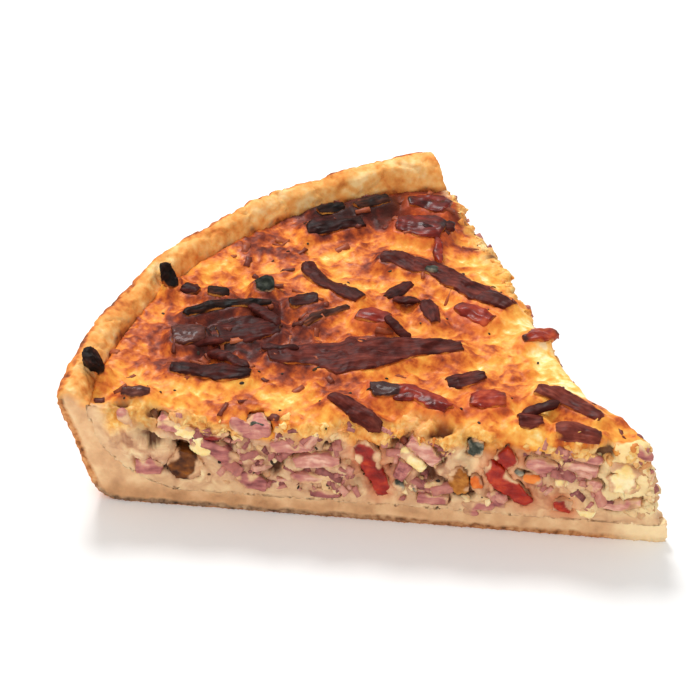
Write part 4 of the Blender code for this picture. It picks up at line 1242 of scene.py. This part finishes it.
# Cooked ham: pink to mauve, and nearly white where it is fat
SHRED = grain_finish(
    "ham_shred",
    [(0.15, "#663432"), (0.35, "#9E5E58"), (0.55, "#BE786C"), (0.7, "#D2937E"), (0.9, "#ECC0A4")],
    Subsurface_Weight=0.08, Subsurface_Scale=0.001,
)
# Ham on the top: grilled dry and red-brown
TOP_SHRED = grain_finish(
    "grilled_shred",
    [(0.1, "#3E1C18"), (0.4, "#6E3224"), (0.65, "#96482A"), (0.9, "#B86236")],
)
# Dried herb: nearly black and quite dull
FLECK = grain_finish("herb_fleck", [(0.1, "#1C1814"), (0.6, "#3C2E22"), (0.9, "#5E3A20")], rough=0.6)
print("small finishes:", [finish.name for finish in (CURD, SHRED, TOP_SHRED, FLECK)])


# %% A helper that strews one kind
ANY_WAY = math.pi
CRUMBLE_SIZE = 1.4


def strew(name, tree, here, finish, slot, seed, per_cm2, small, large, sink, crumble,
          tilt=0.6, spin=ANY_WAY):
    """Scatters one kind of small piece over a copy of the custard, as one plain mesh.

    small and large are the least and most length, width and thickness in millimetres, sink is how
    deep each is set, crumble is how far its outline is pushed about, and tilt and spin are the
    most that it turns, in radians.
    """
    mesh = custard.data.copy()
    paint(mesh, "here", here)
    piece = link_piece(name, mesh)
    grown = run_tree(
        piece, tree, Per_square_metre=per_cm2 * 1e4, Sink=-sink * MM, Tilt=tilt, Spin=spin,
        Crumble=crumble * MM, Crumble_size=CRUMBLE_SIZE * MM, Smallest=[v * MM for v in small],
        Largest=[v * MM for v in large], Seed=seed, Finish=finish,
    )
    finish_piece(piece, slot)
    print(name, "faces:", len(grown.polygons))


# %% Where each kind may lie
BROKEN_FACE = {"turned": (0.1, 0.5), "belt": 2.5, "fade": 1.0}
LOWEST, HIGHEST, WALL_FROM, LOOSE_AT = 6.5, 27.0, 118.0, 50.0
mesh = custard.data
spot, out = places_of(mesh), normals_of(mesh)
near_in, far_in = inside_cuts(spot)
along = spot @ NEAR_ALONG
facing = at_cut(out, near_in, NEAR_OUT, **BROKEN_FACE)
facing_far = at_cut(out, far_in, FAR_OUT, **BROKEN_FACE)
facing_tip = step_up(out[:, 0], 0.3, 0.7) * step_up(spot[:, 0], -14.0, -8.0)
middle_height = step_up(spot[:, 2] - LOWEST, 0.0, 2.0) * step_up(HIGHEST - spot[:, 2], 0.0, 1.5)
inside_wall = step_up(WALL_FROM - along, 0.0, 6.0)
cut_here = np.maximum.reduce((facing, 0.8 * facing_far, facing_tip)) * middle_height
cut_here = cut_here * np.where(facing > 0.2, inside_wall, 1.0)
others = nodes_like("pepper_cut", "mushroom", "carrot", "herb_cut", "cheese")
clear = step_up(gaps_to(search_tree(others), spot, 9.0), 2.0, 4.0)
crumbly = np.exp(-(((along - LOOSE_AT) / 9.0) ** 2)) + step_up(15.0 - along, 0.0, 6.0)
crumbly += 0.6 * step_up(spot[:, 2], 20.0, 24.0)
short_of_edges = step_up(24.5 - spot[:, 2], 0.0, 3.0) * step_up(-spot[:, 0], 8.0, 16.0)
top_here = step_up(out[:, 2], 0.5, 0.8) * step_up(spot[:, 2], 22.0, 24.0)
dark_top = top_here * step_up(oven_level(spot), 0.35, 0.7)
print("share of the custard's surface in the cut:", cut_here.mean().round(3))

# %% Strew them
strew("ham_bars", BAR_GRAINS, cut_here * clear * short_of_edges, SHRED, "ham", seed=21,
      per_cm2=2.8, small=(4.5, 1.6, 1.2), large=(8.0, 2.8, 2.0), sink=0.3, crumble=1.2,
      tilt=0.35, spin=0.8)
strew("custard_curds", ROUND_GRAINS, cut_here * clear * (0.35 + crumbly), CURD, "custard", seed=3,
      per_cm2=20.0, small=(1.2, 1.0, 0.7), large=(3.6, 2.9, 1.7), sink=0.45, crumble=2.6)
strew("ham_shreds", BLOCK_GRAINS, cut_here * clear * (0.25 + 0.75 * short_of_edges), SHRED, "ham",
      seed=5, per_cm2=15.0, small=(1.2, 0.6, 0.5), large=(3.8, 1.6, 1.0), sink=0.15, crumble=1.0)
strew("herb_flecks", ROUND_GRAINS, np.maximum(cut_here, 0.5 * top_here), FLECK, "dark_herb",
      seed=8, per_cm2=0.8, small=(0.5, 0.4, 0.3), large=(1.4, 0.9, 0.6), sink=0.0, crumble=0.3)
strew("grilled_shreds", BLOCK_GRAINS, dark_top + 0.08 * top_here, TOP_SHRED, "ham", seed=11,
      per_cm2=2.0, small=(1.4, 0.7, 0.5), large=(4.6, 1.8, 0.9), sink=0.15, crumble=1.1, tilt=0.3)

# %% [markdown]
# ## The size of the dressed slice
#
# The box of the solids and then the box of the dressed slice are printed, in millimetres.

# %% Print the boxes
dressed_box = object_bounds()
for low, high in (cad_box, dressed_box):
    print([round(v / MM, 1) for v in low], [round(v / MM, 1) for v in high])
